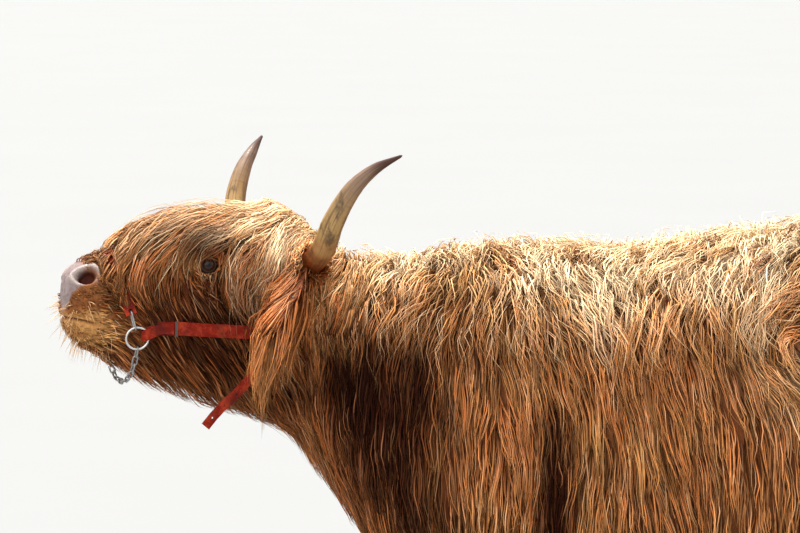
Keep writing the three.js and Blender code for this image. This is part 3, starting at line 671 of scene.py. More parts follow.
def horn_finish():
    """Horn: amber base, ivory middle with smoky streaks and stains, dark worn tip."""
    finish = Finish("horn")
    look = bpy.context.scene.cow_horn
    along, round_ = finish.value("along"), finish.value("round")
    grain = finish.noise(finish.vector(round_ * 13.0, along * 3.0), 1.0, 5.0, 0.62)
    clouds = finish.noise(finish.place(), 30.0, 4.0)
    smoke = finish.noise(finish.place(), (26.0, 26.0, 11.0), 5.0, 0.68)
    base = finish.blend(look.amber, look.ivory, finish.ramp(along + clouds * 0.22, 0.30, 0.60))
    base = finish.blend(base, look.worn, finish.ramp(along + grain * 0.3, 0.58, 0.92))
    base = finish.blend(base, look.stain, finish.ramp(smoke, 0.50, 0.66) * 0.80)
    base = finish.blend(base, look.streak, finish.ramp(grain, 0.48, 0.64) * 0.65)
    base = finish.blend(base, look.dark, finish.ramp(along + grain * 0.16, 0.84, 0.99))
    rings = finish.noise(finish.vector(along * 60.0, round_ * 0.6), 1.0, 2.0)
    base = finish.blend(base, look.ring, finish.ramp(rings, 0.55, 0.8) * 0.30)
    finish.set("Base Color", base)
    finish.set("Roughness", 0.46 + grain * 0.26)
    finish.set("Coat Weight", clouds * 0.05)
    finish.set("Specular IOR Level", 0.22)
    finish.bump(grain * 0.7 + rings * 0.5, 0.0011)
    return finish.material


def hoof_finish():
    """Hoof wall: dark horn with growth rings and dusty wear near the ground."""
    finish = Finish("hoof")
    look = bpy.context.scene.cow_horn
    place = finish.place()
    rings = finish.noise(place, (14.0, 14.0, 210.0))
    grain = finish.noise(place, (420.0, 420.0, 30.0))
    clouds = finish.noise(place, 30.0)
    base = finish.blend(look.hoof, look.hoof_pale, finish.ramp(rings + clouds * 0.4, 0.62, 0.95))
    height = finish.node("ShaderNodeSeparateXYZ", None, {0: place}, "Z")
    dust = (1 - finish.ramp(height, 0.0, 0.02)) * clouds
    base = finish.blend(base, look.dust, dust * 0.7)
    finish.set("Base Color", base)
    finish.set("Roughness", 0.42 + clouds * 0.25)
    finish.bump(rings * 0.7 + grain * 0.4, 0.0012)
    return finish.material


def eye_finish():
    """Eyeball: dark brown iris, wide flat pupil, and a wet cornea."""
    finish = Finish("eye")
    out, level, up = finish.value("out"), finish.value("level"), finish.value("up")
    look = bpy.context.scene.cow_eye
    spokes = finish.noise(finish.vector(level, up), 9.0, 5.0, 0.7)
    iris = finish.blend(look.iris, look.iris_pale, finish.ramp(spokes, 0.4, 0.7))
    white = finish.blend(look.white, look.white_pale, spokes)
    base = finish.blend(white, iris, finish.ramp(out, 0.70, 0.76))
    pupil = level * level / 0.13 + up * up / 0.042
    base = finish.blend(base, look.pupil, 1 - finish.ramp(pupil, 0.75, 1.05))
    finish.set("Base Color", base)
    finish.set("Specular IOR Level", 0.10)
    finish.set("Roughness", 0.10 + spokes * 0.08)
    finish.set("Coat Weight", 0.20)
    finish.set("Coat Roughness", 0.03)
    finish.bump(spokes, 0.0002)
    return finish.material


def strap_finish():
    """Dyed strap: woven grain, faded and fluffed places also standing in for painted sheen, darker
    grime.
    """
    finish = Finish("strap")
    look = bpy.context.scene.cow_tack
    place = finish.place()
    weave = finish.cells(place, (620.0, 620.0, 900.0))
    wear = finish.noise(place, 42.0, 5.0, 0.62)
    grime = finish.noise(place, 18.0, 4.0)
    # Paler patches: faded dye, and painted sheen.
    base = finish.blend(look.red, look.worn, finish.ramp(wear + weave * 0.22, 0.52, 0.80))
    base = finish.blend(base, look.grime, finish.ramp(grime, 0.44, 0.66) * 0.75)
    finish.set("Base Color", base)
    finish.set("Roughness", 0.62 + wear * 0.22)
    finish.set("Specular IOR Level", 0.12)
    finish.bump(weave, 0.0007)
    return finish.material


def keeper_finish():
    """Dark leather loop."""
    finish = Finish("keeper")
    look = bpy.context.scene.cow_tack
    place = finish.place()
    grain = finish.cells(place, 900.0)
    scuff = finish.noise(place, 120.0, 4.0)
    finish.set("Base Color", finish.blend(look.keeper, look.scuff, scuff * 0.55))
    finish.set("Roughness", 0.42 + scuff * 0.25)
    finish.bump(grain, 0.0004)
    return finish.material


def steel_finish(name, dull):
    """Bright or dulled steel with scratches and spots of rust."""
    finish = Finish(name)
    look = bpy.context.scene.cow_tack
    place = finish.place()
    stains = finish.ramp(finish.noise(place, 130.0, 5.0, 0.65), 0.62 - dull * 0.25, 0.80)
    scratches = finish.noise(place, (900.0, 250.0, 900.0))
    shade = tuple(part * (1 - 0.62 * dull) for part in look.steel)
    base = finish.blend(shade, look.tarnish, stains * (0.35 + 0.5 * dull))
    finish.set("Base Color", base)
    finish.set("Metallic", 1 - stains * 0.7)
    finish.set("Roughness", 0.20 + 0.16 * dull + scratches * 0.16 + stains * 0.3)
    finish.bump(scratches, 0.0002)
    return finish.material


def floor_finish():
    """Pale, faintly mottled studio floor."""
    finish = Finish("floor")
    mottle = finish.noise(finish.place(), 0.8, 3.0)
    shade = bpy.context.scene.cow_stage.floor
    finish.set("Base Color", finish.shaded(shade, 0.97 + mottle * 0.05))
    finish.set("Roughness", 0.85)
    return finish.material


# ---- The skin -------------------------------------------------------------------------------

# Depth of the coat on the head, in metres: behind the nose, on top, at the sides, below.
HEAD_COAT = (
    (0.00, 0.002, 0.002, 0.003),
    (0.04, 0.004, 0.004, 0.008),
    (0.08, 0.010, 0.007, 0.020),
    (0.12, 0.021, 0.010, 0.034),
    (0.17, 0.036, 0.014, 0.046),
    (0.22, 0.042, 0.018, 0.050),
    (0.30, 0.038, 0.024, 0.052),
    (0.44, 0.038, 0.030, 0.050),
    (0.56, 0.040, 0.036, 0.050),
)
# Depth of the coat on a leg: height, depth.
LEG_COAT = (
    (0.03, 0.006),
    (0.07, 0.013),
    (0.12, 0.012),
    (0.18, 0.010),
    (0.30, 0.014),
    (0.40, 0.024),
)
# Depth of the coat on the tail: height, depth.
TAIL_COAT = (
    (0.15, 0.006),
    (0.20, 0.020),
    (0.30, 0.038),
    (0.42, 0.042),
    (0.60, 0.022),
    (1.10, 0.016),
)
# Depth of the coat on neck and trunk, and on the bare udder.
BODY_COAT, UDDER_COAT = 0.030, 0.004
# The ear's blade from root to tip, in the head's directions: side, back, height, half width.
EAR_BLADE = (
    (0.085, 0.440, 1.112, 0.024),
    (0.118, 0.436, 1.112, 0.030),
    (0.160, 0.420, 1.108, 0.036),
    (0.205, 0.388, 1.082, 0.037),
    (0.245, 0.352, 1.050, 0.029),
    (0.275, 0.324, 1.014, 0.012),
)
# Where the hair of the flank turns in a whorl.
WHORL = (0.32, 0.372, 1.000)
# The line between the lips: behind the nose, height.
MOUTH_LINE = ((0.009, 1.036), (0.026, 1.032), (0.054, 1.024), (0.084, 1.016), (0.100, 1.013))
# Middle of the left nostril in the head's directions, and its long, short and inward reach.
NOSTRIL = (0.050, 0.031, 1.117)
NOSTRIL_REACH = (0.0225, 0.0145, 0.034)
# Half width of the bare nose pad: height, half width.
NOSE_PAD = ((1.045, 0.026), (1.085, 0.038), (1.110, 0.056), (1.150, 0.050))
# How close to the nose and to each eye the skin is made finer, in turn.
FINE_MUZZLE = (0.125, 0.112)
FINE_EYES = (0.050, 0.036)

# Soft oval marks of the coat: middle and width one way, middle and width the other way.
# On the head the ways are back from the nose and up from the floor.
TEMPLE = (0.33, 0.09, 1.10, 0.06)
# Painted shade in the hollow above each eye.
BROW_HOLLOW_SHADE = (0.245, 0.050, 1.165, 0.030)
NOSE_BRIDGE = (0.13, 0.06, 1.188, 0.033)
EAR_TUFT = (0.475, 0.052, 1.065, 0.060)
BEHIND_HORN = (0.49, 0.05, 1.10, 0.05)
# On the body they are along it and up from the floor.
MATTED_HAIR = (0.38, 0.09, 0.925, 0.06)
THROAT_TUCK = (-0.57, 0.07, 0.78, 0.07)
POLL_TUCK = (-0.545, 0.045, 1.205, 0.045)

# Paler spots of skin and short hair just in front of each eye.
PALE_SPOTS = tuple(
    eye - HEAD_BACK * 0.034 + HEAD_SIDE * (0.012 * mirror) + np.array([0, 0, 0.004])
    for eye, mirror in ((EYE_LEFT, 1), (EYE_RIGHT, -1))
)


class Flesh:
    """The solids of flesh, to tell which part of the body a place belongs to."""

    def __init__(self):
        groups = [triangles_of(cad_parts[name].data) for name in FLESH_NODES]
        self.surface = Surface(*joined(groups))
        self.owner = np.repeat(np.arange(len(groups)), [len(faces) for _, faces in groups])

    def parts(self, points):
        """The index in FLESH_NODES of the part nearest to each point."""
        _, faces = self.surface.drop(points)
        return self.owner[faces]


def is_part(parts, *names):
    """True where a point belongs to one of the named parts."""
    return np.isin(parts, [FLESH_NODES.index(name) for name in names])


class Site:
    """Where points of the skin lie, what part of the body they are on and how they face."""

    def __init__(self, points, normals, parts):
        self.points = points
        self.side, self.back, self.height = to_head(points)
        self.x, self.y, self.z = points.T
        self.up = normals[:, 2]
        self.ears = is_part(parts, *EAR_NODES)
        self.legs = is_part(parts, *LEG_NODES)
        for name in ("head", "neck", "trunk", "tail", "udder"):
            setattr(self, name, is_part(parts, name))


def oval(first, second, mark):
    """1 in the middle of a soft oval mark, falling smoothly to nothing round it."""
    return bell(first, *mark[:2]) * bell(second, *mark[2:])


def away_from(points, centre):
    """How far each point is from one place."""
    return np.linalg.norm(points - centre, axis=-1)


def coat_depth(points, normals, parts):
    """How far the skin lies inside the solids."""
    site = Site(points, normals, parts)
    above = np.clip(site.up, 0, 1) ** 1.5
    below = np.clip(-site.up, 0, 1) ** 1.5
    on_top, beside, under = (along_rows(HEAD_COAT, site.back, column) for column in (1, 2, 3))
    head = beside + (on_top - beside) * above
    head += (under - beside) * below
    body = BODY_COAT + 0.010 * ease(-site.z, -0.8, -0.5) - 0.006 * above + 0.006 * below
    depth = np.where(site.head, head, body)
    depth = np.where(site.legs, along_rows(LEG_COAT, site.z, 1), depth)
    depth = np.where(site.tail, along_rows(TAIL_COAT, site.z, 1), depth)
    return np.where(site.udder, UDDER_COAT, depth)


def shrink(mesh, flesh):
    """Moves the skin inwards by the depth of the coat, in small steps."""
    points, triangles = triangles_of(mesh)
    edges = edges_of(mesh)
    count = len(points)
    normals = Surface(points, triangles).normals
    depth = coat_depth(points, normals, flesh.parts(points))
    depth = soften(depth, edges, count, 14)
    steps = 6
    for _ in range(steps):
        outward = spread_to_corners(crosses(points, triangles), triangles, count)
        points = points - outward * depth / steps
        points = soften(points, edges, count, 1, 0.35)
    return points, triangles


def ear_blade(mirror):
    """The bare ear: a cupped, pointed blade that droops sideways."""
    steps, thickness, cup_depth = 14, 0.0062, 0.30
    path, directions = curve_through([row[:3] for row in EAR_BLADE], steps)
    places = np.linspace(0, 1, len(EAR_BLADE))
    widths = np.interp(np.linspace(0, 1, steps), places, [row[3] for row in EAR_BLADE])
    turns = np.linspace(0, 2 * math.pi, steps, endpoint=False)
    rings = []
    for centre, direction, width in zip(path, directions, widths):
        across = unit(np.cross(direction, [0.35, -0.75, 0.55]))
        out = np.cross(across, direction)
        ring = []
        for turn in turns:
            cup = cup_depth * width * math.cos(turn) ** 2
            offset = across * math.cos(turn) * width + out * (math.sin(turn) * thickness + cup)
            side, back, height = centre + offset
            ring.append(from_head(mirror * side, back, height))
        rings.append(ring if mirror > 0 else ring[::-1])
    points, faces = loft(rings)
    return triangles_of(face_list_mesh("ear", points, faces))


def refine(mesh, wanted):
    """Splits the faces that wanted picks, by their middles."""
    work = bmesh.new()
    work.from_mesh(mesh)
    work.faces.ensure_lookup_table()
    middles = np.array([tuple(face.calc_center_median()) for face in work.faces])
    picked = wanted(middles)
    edges = {edge for face, pick in zip(work.faces, picked) if pick for edge in face.edges}
    bmesh.ops.subdivide_edges(work, edges=list(edges), cuts=1, use_grid_fill=True)
    work.to_mesh(mesh)
    work.free()
    mesh.update()


def near_muzzle(reach):
    """Picks places no farther than this behind the nose."""

    def picked(points):
        _, back, height = to_head(points)
        return (back < reach) & (height > 0.94)

    return picked


def near_eyes(reach):
    """Picks places no farther than this from an eye."""

    def picked(points):
        return np.minimum(away_from(points, EYE_LEFT), away_from(points, EYE_RIGHT)) < reach

    return picked


def sculpt_nostrils(points, normals):
    """Comma-shaped nostrils with a soft rim; returns the points and how deep inside they are."""
    side, back, height = to_head(points)
    depth, rim_height = bpy.context.scene.cow_skin.nostril_depth, 0.0045
    middle_side, middle_back, middle_height = NOSTRIL
    slope, rise = 0.90, 0.44
    a = (back - middle_back) * slope + (height - middle_height) * rise
    b = (height - middle_height) * slope - (back - middle_back) * rise
    aside = np.abs(side) - middle_side
    bend = b - 0.16 * (a - 0.004) ** 2 / 0.018
    parts = zip((a, bend, aside), NOSTRIL_REACH)
    reach = np.sqrt(sum((value / size) ** 2 for value, size in parts))
    inside = 1 - ease(reach, 0.62, 1.0)
    rim = bell(reach, 1.22, 0.26) * ease(np.abs(side), 0.005, 0.02)
    rim = rim * (0.5 + 0.5 * ease(b, -0.01, 0.01))
    return points - normals * (inside * depth - rim * rim_height)[:, None], inside, rim


def sculpt_mouth(points, normals):
    """A closed mouth between full lips; returns the points and the line's mask."""
    _, back, height = to_head(points)
    line = np.interp(np.maximum(back, MOUTH_LINE[0][0]), *zip(*MOUTH_LINE))
    near = 1 - ease(back, 0.040, 0.062)
    groove = bell(height, line, 0.0034) * near
    upper_lip = bell(height, line + 0.013, 0.009) * 0.0030
    lower_lip = bell(height, line - 0.013, 0.010) * 0.0036
    depth = bpy.context.scene.cow_skin.mouth_depth
    return points + normals * ((upper_lip + lower_lip) * near - groove * depth)[:, None], groove


def eye_axes(mirror):
    """Where an eye looks, the line of its slit and what is up to it."""
    out = unit(HEAD_SIDE * mirror - HEAD_BACK * 0.28 + np.array([0, 0, 0.05]))
    level = unit(np.cross(np.array([0, 0, 1.0]), out) + np.array([0, 0, 0.16]) * mirror)
    return out, level, np.cross(out, level)


def sculpt_eye(points, centre, mirror):
    """Lids closed round the eyeball, a brow above and a fold below; returns points and masks."""
    lid = bpy.context.scene.cow_skin.lid
    out, level, up = eye_axes(mirror)
    offset = points - centre
    a, b, c = offset @ level, offset @ up, offset @ out
    reach = np.linalg.norm(offset, axis=1)
    near = (reach < 3 * EYE_RADIUS) & (c > -0.2 * EYE_RADIUS)
    slit = 0.52 * EYE_RADIUS * (1 - (a / (0.90 * EYE_RADIUS)) ** 2)
    from_slit = np.abs(b + 0.001)
    open_ = near & (from_slit < slit) & (c > 0)
    edge = np.clip(1 - np.abs(from_slit - slit) / 0.006, 0, 1) * (np.abs(a) < 1.2 * EYE_RADIUS)
    cover = EYE_RADIUS + lid * (0.75 + 0.6 * edge)
    away = np.maximum(reach, 1e-6)
    scale = np.where(open_, (EYE_RADIUS - 0.004) / away, 1.0)
    lift = near & ~open_ & (reach < cover)
    scale = np.where(lift, cover / away, scale)
    far = near & ~open_ & ~lift
    flat = np.sqrt(a**2 + b**2)
    brow = bell(flat, EYE_RADIUS * 1.45, 0.008) * ease(b, -0.004, 0.012) * 0.0055
    fold = bell(flat, EYE_RADIUS * 1.30, 0.0030) * ease(-b, 0.0, 0.008) * 0.0026
    push = np.where(far, brow - fold, 0.0)
    moved = centre + offset * scale[:, None] + out * push[:, None]
    rim = (near & ~open_) * (1 - ease(reach, EYE_RADIUS * 1.12, EYE_RADIUS * 1.42)) * (c > 0)
    return moved, rim, open_


def shade_and_umber(site, broad, fine):
    """Painted shade on the neck, partly darker hair; umber on throat, cheeks and belly; painted shade
    behind the elbows.
    """
    y, z, head = site.y, site.z, site.head
    # Painted shade on the lower neck, partly also darker hair there.
    near_neck = np.minimum(bell(y, -0.395, 0.125) * 1.3, 1)
    shade = near_neck * ease(-z + broad * 0.05, -1.03, -0.955)
    shade = shade * (1 - 0.28 * ease(-z, -0.88, -0.78))
    facing_down = ease(-site.up, 0.30, 0.75)
    throat = (head | site.neck) * ease(-z + broad * 0.03, -1.04, -0.94)
    cheek = head * ease(-site.height + broad * 0.03, -1.15, -1.06) * ease(site.back, 0.09, 0.16)
    dark_places = (
        shade * (1 - 0.6 * facing_down),
        # Painted shade in the crease behind each elbow.
        0.95 * bell(y + 0.06 * (z - 0.8), -0.066, 0.036) * ease(-z, -0.94, -0.80),
        throat * (1 - 0.75 * facing_down) * 0.47,
        cheek * 0.66,
        head * oval(site.back, site.height, TEMPLE) * 0.40,
        # Painted shade in the hollow above each eye.
        head * oval(site.back, site.height, BROW_HOLLOW_SHADE) * 0.75,
        (z < 0.75) * ease(-site.up, 0.2, 0.8) * 0.55,
    )
    return shade, np.clip(np.maximum.reduce(dark_places) + fine * 0.12, 0, 1)


def pale_lines(site, broad, fine):
    """The crown and poll, and the line along crest and back as a broad and a narrow band: paler hair
    and painted highlight.
    """
    up, back, height = site.up, site.back, site.height
    crown = site.head * ease(up + broad * 0.25, 0.52, 0.90) * ease(back, 0.08, 0.16)
    poll = (site.head | site.neck) * (1 - ease(back, 0.58, 0.64))
    edge = 1.175 - 0.055 * ease(back, 0.33, 0.44)
    poll = poll * ease(height + broad * 0.03, edge, edge + 0.05)
    poll = poll * ease(back + broad * 0.05, 0.27, 0.37)
    crest = site.trunk | site.tail | site.neck
    band = crest * ease(up + broad * 0.22, 0.30, 0.85) * ease(site.z, 0.9, 1.05)
    narrow = up + broad * 0.30 + fine * 0.1 - 0.06 * site.neck
    narrow = crest * ease(narrow, 0.50, 0.92) * ease(site.z, 0.95, 1.08)
    return crown, poll, band, narrow


def markings(points, normals, parts):
    """The coat's colours at places on the skin: shares of umber, rust, straw and cream."""
    noise = Noise(3)
    broad, fine = noise.at(points, 0.16), noise.at(points, 0.045)
    site = Site(points, normals, parts)
    head, neck, ears, back, height = site.head, site.neck, site.ears, site.back, site.height

    shade, umber = shade_and_umber(site, broad, fine)
    tuft = (head | neck) * oval(back, height, EAR_TUFT)
    umber = umber * (1 - 0.7 * tuft)

    crown, poll, band, narrow = pale_lines(site, broad, fine)
    matted = site.trunk * oval(site.y, site.z, MATTED_HAIR)
    bridge = head * oval(back, height, NOSE_BRIDGE)
    brow = sum(bell(away_from(points, spot), 0, 0.026) for spot in PALE_SPOTS)
    pale_places = (
        crown * (0.85 + fine * 0.4),
        band,
        ears * (0.04 + 0.34 * ease(-height, -1.09, -0.99) + fine * 0.5),
        brow * 0.6,
        site.trunk * (0.30 + broad * 0.45 + fine * 0.3) * (1 - shade),
        tuft * 0.75,
        matted,
        bridge,
    )
    straw = np.maximum.reduce(pale_places)
    straw = np.where(umber > 0.3, straw * 0.5, straw) * 0.85
    # Cream on the upward faces of the head: partly paler hair, partly painted highlight.
    ridge = head * ease(site.up, 0.55, 0.90) * ease(back, 0.12, 0.20) * 0.30
    palest = (poll * 1.5, narrow * (1.05 - 0.42 * neck), ridge, matted * 0.5, bridge * 0.75)
    cream = np.maximum.reduce(palest) * (1.0 + broad * 0.4 + fine * 0.5)
    rust = (0.45 + broad * 0.9 + fine * 0.5) * (1 - 0.5 * band)
    rust = np.where(head, rust + 0.50, rust + 0.4 * tuft)
    rust = rust * (1 + 0.25 * ears) * (1 - 0.45 * site.legs)

    muzzle = head * (1 - ease(back, 0.05, 0.14))
    umber = umber * (1 - muzzle * 0.55) + muzzle * (0.50 + fine * 0.2) * (1 - brow.clip(0, 1))
    chin = muzzle * (1 - ease(height + fine * 0.02, 1.035, 1.065)) * ease(height, 0.96, 1.0)
    umber = np.maximum(umber * (1 - chin * 0.8), ears * 0.2)
    lips = muzzle * 0.30 * ease(height + fine * 0.02, 1.0, 1.1)
    straw = np.maximum.reduce([straw, lips, chin * 0.9])
    shares = {"umber": umber, "rust": rust, "straw": straw, "cream": cream}
    return {name: np.clip(values, 0, 0.95) for name, values in shares.items()}


def plain_skin(flesh):
    """The skin's mesh with no features on the face: the body inside its coat, and both ears."""
    look = bpy.context.scene.cow_skin
    rough = remeshed(mesh_from("rough", *node_triangles(BODY_NODES)), look.rough_step)
    body = shrink(rough, flesh)
    whole = mesh_from("whole", *joined([body, ear_blade(1), ear_blade(-1)]))
    skin = remeshed(whole, look.fine_step)
    for reach in FINE_MUZZLE:
        refine(skin, near_muzzle(reach))
    for reach in FINE_EYES:
        refine(skin, near_eyes(reach))
    return skin


def face_masks(points, mouth, nostril, rim):
    """Masks of the bare skin of the face, from the nose pad to the rims of the nostrils."""
    side, back, height = to_head(points)
    wide = np.interp(height, *zip(*NOSE_PAD))
    spread = np.sqrt((side / wide) ** 2 + ((height - 1.098) / 0.052) ** 2)
    reach = 0.014 + 0.014 * ease(height, 1.085, 1.110)
    pad = (1 - ease(spread, 0.84, 1.05)) * (1 - ease(back - reach, 0, 0.010))
    lips = ease(mouth, 0.45, 0.95) * 0.9 * (1 - ease(back, 0.03, 0.06))
    # Near-black inside the nostrils and along the lips: painted shade of these hollows.
    inner = np.clip(np.maximum(ease(nostril, 0.15, 0.7), lips), 0, 1)
    return pad, rim * ease(height, 1.100, 1.118), inner, 1 - ease(back, 0.08, 0.16)


def make_skin():
    """One skin for all the flesh; returns its mesh."""
    flesh = Flesh()
    skin = plain_skin(flesh)
    points, triangles = triangles_of(skin)
    points = soften(points, edges_of(skin), len(points), 3, 0.5)
    normals = Surface(points, triangles).normals
    points, mouth = sculpt_mouth(points, normals)
    points, nostril, rim = sculpt_nostrils(points, normals)
    points, lids_left, open_left = sculpt_eye(points, EYE_LEFT, 1)
    points, lids_right, open_right = sculpt_eye(points, EYE_RIGHT, -1)
    normals = Surface(points, triangles).normals
    pad, pad_rim, inner, muzzle = face_masks(points, mouth, nostril, rim)
    _, back, height = to_head(points)
    creases = Noise(5).at(points, 0.020) * 0.0016 * (1 - ease(back, 0.16, 0.22)) * (height > 0.9)
    points = points + normals * (creases * (1 - nostril))[:, None]
    skin.vertices.foreach_set("co", points.astype(np.float32).ravel())

    parts = flesh.parts(points)
    site = Site(points, normals, parts)
    shins = site.legs * ease(-site.z, -0.3, -0.1)
    masks = {
        **markings(points, normals, parts),
        "rim": rim,
        "pad": np.maximum(site.head * pad, pad_rim),
        # Painted shade inside the nostrils, along the mouth and behind the eye openings.
        "inner": np.maximum(inner, (open_left | open_right) * 1.0),
        "lids": np.clip(lids_left + lids_right, 0, 1) * 0.85,
        "udder": site.udder * ease(-site.z, -0.44, -0.41) * 0.9,
        "short": 0.16 + 0.5 * (site.head * muzzle) + 0.2 * shins - 0.04 * site.ears,
    }
    for name, values in masks.items():
        set_values(skin, name, values)
    skin.update()
    skin.shade_smooth()
    return skin


# ---- How the coat lies ----------------------------------------------------------------------

# The colours of the coat that skin and tufts share.
COAT_MARKS = ("umber", "rust", "straw", "cream")
# Length of the face's hair: behind the nose, length.
FACE_HAIR = ((0.02, 0.010), (0.06, 0.018), (0.11, 0.036), (0.17, 0.056), (0.24, 0.066), (0.45, 0.085))
# Length of the ears' hair: out from the middle of the head, length.
EAR_HAIR = ((0.10, 0.13), (0.18, 0.22), (0.27, 0.19))
# Length of the hair of legs and tail: height, length.
LEG_HAIR = ((0.03, 0.026), (0.06, 0.040), (0.10, 0.034), (0.18, 0.030), (0.30, 0.046), (0.40, 0.085))
TAIL_HAIR = ((0.2, 0.05), (0.45, 0.20), (0.7, 0.12), (1.1, 0.06))
UDDER_HAIR, EYELID_HAIR = 0.010, 0.012


def whorl(points):
    """A crown of hair turning round one spot on each flank."""
    offset = (np.abs(points) - np.abs(WHORL)) * np.array([0.0, 1.0, 1.0])
    offset[:, 1] = points[:, 1] - WHORL[1]
    reach = np.linalg.norm(offset, axis=1, keepdims=True)
    round_ = np.cross(np.array([1.0, 0.0, 0.0]), unit(offset))
    return (round_ - unit(offset) * 0.35) * 1.5 * bell(reach, 0.050, 0.045)


def trunk_flow(site, swirl):
    """Down the flanks, outwards over the back, round in each whorl; and the neck's flow."""
    up, y = site.up[:, None], site.y[:, None]
    outward = np.sign(site.x)[:, None] * np.array([[1.0, 0.0, 0.0]])
    top = ease(up, 0.25, 0.8)
    trunk = DOWN + TAILWARD * 0.10 + outward * top * 0.6 + swirl * (0.28 + 0.75 * top)
    trunk = trunk + TAILWARD * ease(y, 0.55, 0.9) * 0.35 * ease(up, -0.2, 0.5)
    neck = DOWN + TAILWARD * 0.22 + outward * top * 0.8 + swirl * (0.25 + 0.3 * top)
    return trunk + whorl(site.points), neck


def head_flow(site, swirl, neck):
    """Forwards over the crown, down the cheeks and back along the muzzle; and the neck's flow."""
    up, back, height = site.up[:, None], site.back[:, None], site.height[:, None]
    aside = np.abs(site.side)[:, None]
    head_out = np.sign(site.side)[:, None] * HEAD_SIDE
    crown = ease(up, 0.05, 0.55) * ease(back, 0.04, 0.08)
    fringe = -HEAD_BACK + head_out * (0.20 + 2.4 * aside) + DOWN * 0.20
    bridge = -HEAD_BACK * 0.9 + head_out * (0.4 + 5 * aside) + DOWN * 0.4
    fringe = mix(bridge, fringe, ease(back, 0.12, 0.20))
    neck = mix(fringe, neck, np.maximum(ease(back, 0.545, 0.585), 1 - crown))
    over_neck = bell(back, 0.49, 0.07) * ease(height, 0.98, 1.06) * (1 - crown)
    hanging = DOWN - HEAD_BACK * 0.12 + head_out * 0.2 + swirl * 0.2
    neck = mix(neck, hanging, over_neck)

    cheek = DOWN * 0.72 + HEAD_BACK * 0.70
    brow = DOWN * 0.9 - HEAD_BACK * 0.30
    muzzle = HEAD_BACK + DOWN * 0.30
    jaw = DOWN * 0.6 + HEAD_BACK * 0.7
    cheek = mix(cheek, brow, ease(height, 1.13, 1.18) * ease(back, 0.18, 0.24))
    head = mix(cheek, jaw, ease(-up, 0.1, 0.6))
    head = mix(muzzle, head, ease(back, 0.085, 0.15))
    head = mix(head, hanging, over_neck * 0.9)
    head = mix(head, fringe, crown) + swirl * 0.32
    return head + head_out * bell(from_horn(site.points), 0.0, 0.055)[:, None] * 1.8, neck


def ear_flow(site, swirl):
    """Outwards at the root of the ear, then down in a fan that opens forwards."""
    aside = np.abs(site.side)[:, None]
    head_out = np.sign(site.side)[:, None] * HEAD_SIDE
    forwards = (0.40 * ease(aside, 0.14, 0.22) - 0.20) * HEAD_BACK
    near_root = 1 - ease(aside, 0.13, 0.20)
    return head_out * (0.16 + 1.1 * near_root) + DOWN - forwards + swirl * 0.25


def flow(site):
    """Which way the hair lies, before it is laid along the skin."""
    noise = Noise(11)
    swirl = np.stack([noise.at(site.points + shift, 0.15) for shift in (0.0, 3.3, 7.1)], axis=1)
    found, neck = trunk_flow(site, swirl)
    head, neck = head_flow(site, swirl, neck)
    small = swirl * 0.12
    others = (
        (site.neck, neck),
        (site.head, head),
        (site.ears, ear_flow(site, swirl)),
        (site.legs, DOWN + TAILWARD * 0.15 + small),
        (site.tail, DOWN + small),
    )
    for part, directions in others:
        found = np.where(part[:, None], directions, found)
    return found


def hair_length(site, top, under, crown, bridge):
    """How long the hair is on each part of the body."""
    size = 0.150 - 0.066 * top - 0.070 * under
    size = np.where(site.neck, 0.125 + 0.025 * top - 0.03 * under, size)
    face = np.interp(site.back, *zip(*FACE_HAIR)) + crown * 0.085 + bridge * 0.045
    face = face + ease(-site.up, 0.1, 0.6) * ease(site.back, 0.03, 0.12) * 0.045
    for eye in (EYE_LEFT, EYE_RIGHT):
        face = mix(face, EYELID_HAIR, 1 - ease(away_from(site.points, eye), 0.026, 0.055))
    others = (
        (site.head, face),
        (site.ears, np.interp(np.abs(site.side), *zip(*EAR_HAIR))),
        (site.tail, np.interp(site.z, *zip(*TAIL_HAIR))),
        (site.legs, np.interp(site.z, *zip(*LEG_HAIR))),
        (site.udder, UDDER_HAIR),
    )
    for part, lengths in others:
        size = np.where(part, lengths, size)
    return size


def hair_fields(site):
    """Length and curl of the hair, how much it stands up, and how thick it grows."""
    up, back, head, neck, ears = site.up, site.back, site.head, site.neck, site.ears
    top, under = ease(up, 0.35, 0.85), ease(-up, 0.35, 0.85)
    crown = ease(up, 0.05, 0.55) * ease(back, 0.16, 0.30)
    bridge = ease(up, 0.10, 0.60) * bell(back, 0.11, 0.05)
    turning = ease(np.linalg.norm(whorl(site.points), axis=1), 0.2, 1.2)

    curl = 0.35 + 0.55 * top + 0.5 * turning
    curl = np.where(head, 0.22, np.where(neck, 0.40, curl))
    curl = np.where(site.legs | site.tail, 0.25, curl)
    stand = np.where(head, 1.0 + 0.22 * crown + 0.10 * under, 0.88 + 0.42 * top)
    stand = np.where(ears, 0.0, stand)
    thick = 1.0 + 0.9 * bell(up, 0.50, 0.28) * (site.z > 0.8) * ~head
    thick = thick + head * bridge * 1.2 + turning
    thick = thick + 1.1 * head * ease(-up, 0.1, 0.6) * ease(back, 0.06, 0.14)
    behind_horns = (head | neck) * oval(back, site.height, BEHIND_HORN)
    thick = thick + 1.5 * behind_horns + 1.8 * ears * (1 - ease(np.abs(site.side), 0.12, 0.19))
    return {
        "size": hair_length(site, top, under, crown, bridge),
        "curl": curl,
        "stand": stand,
        "thick": np.where(site.udder, 0.12, thick),
    }


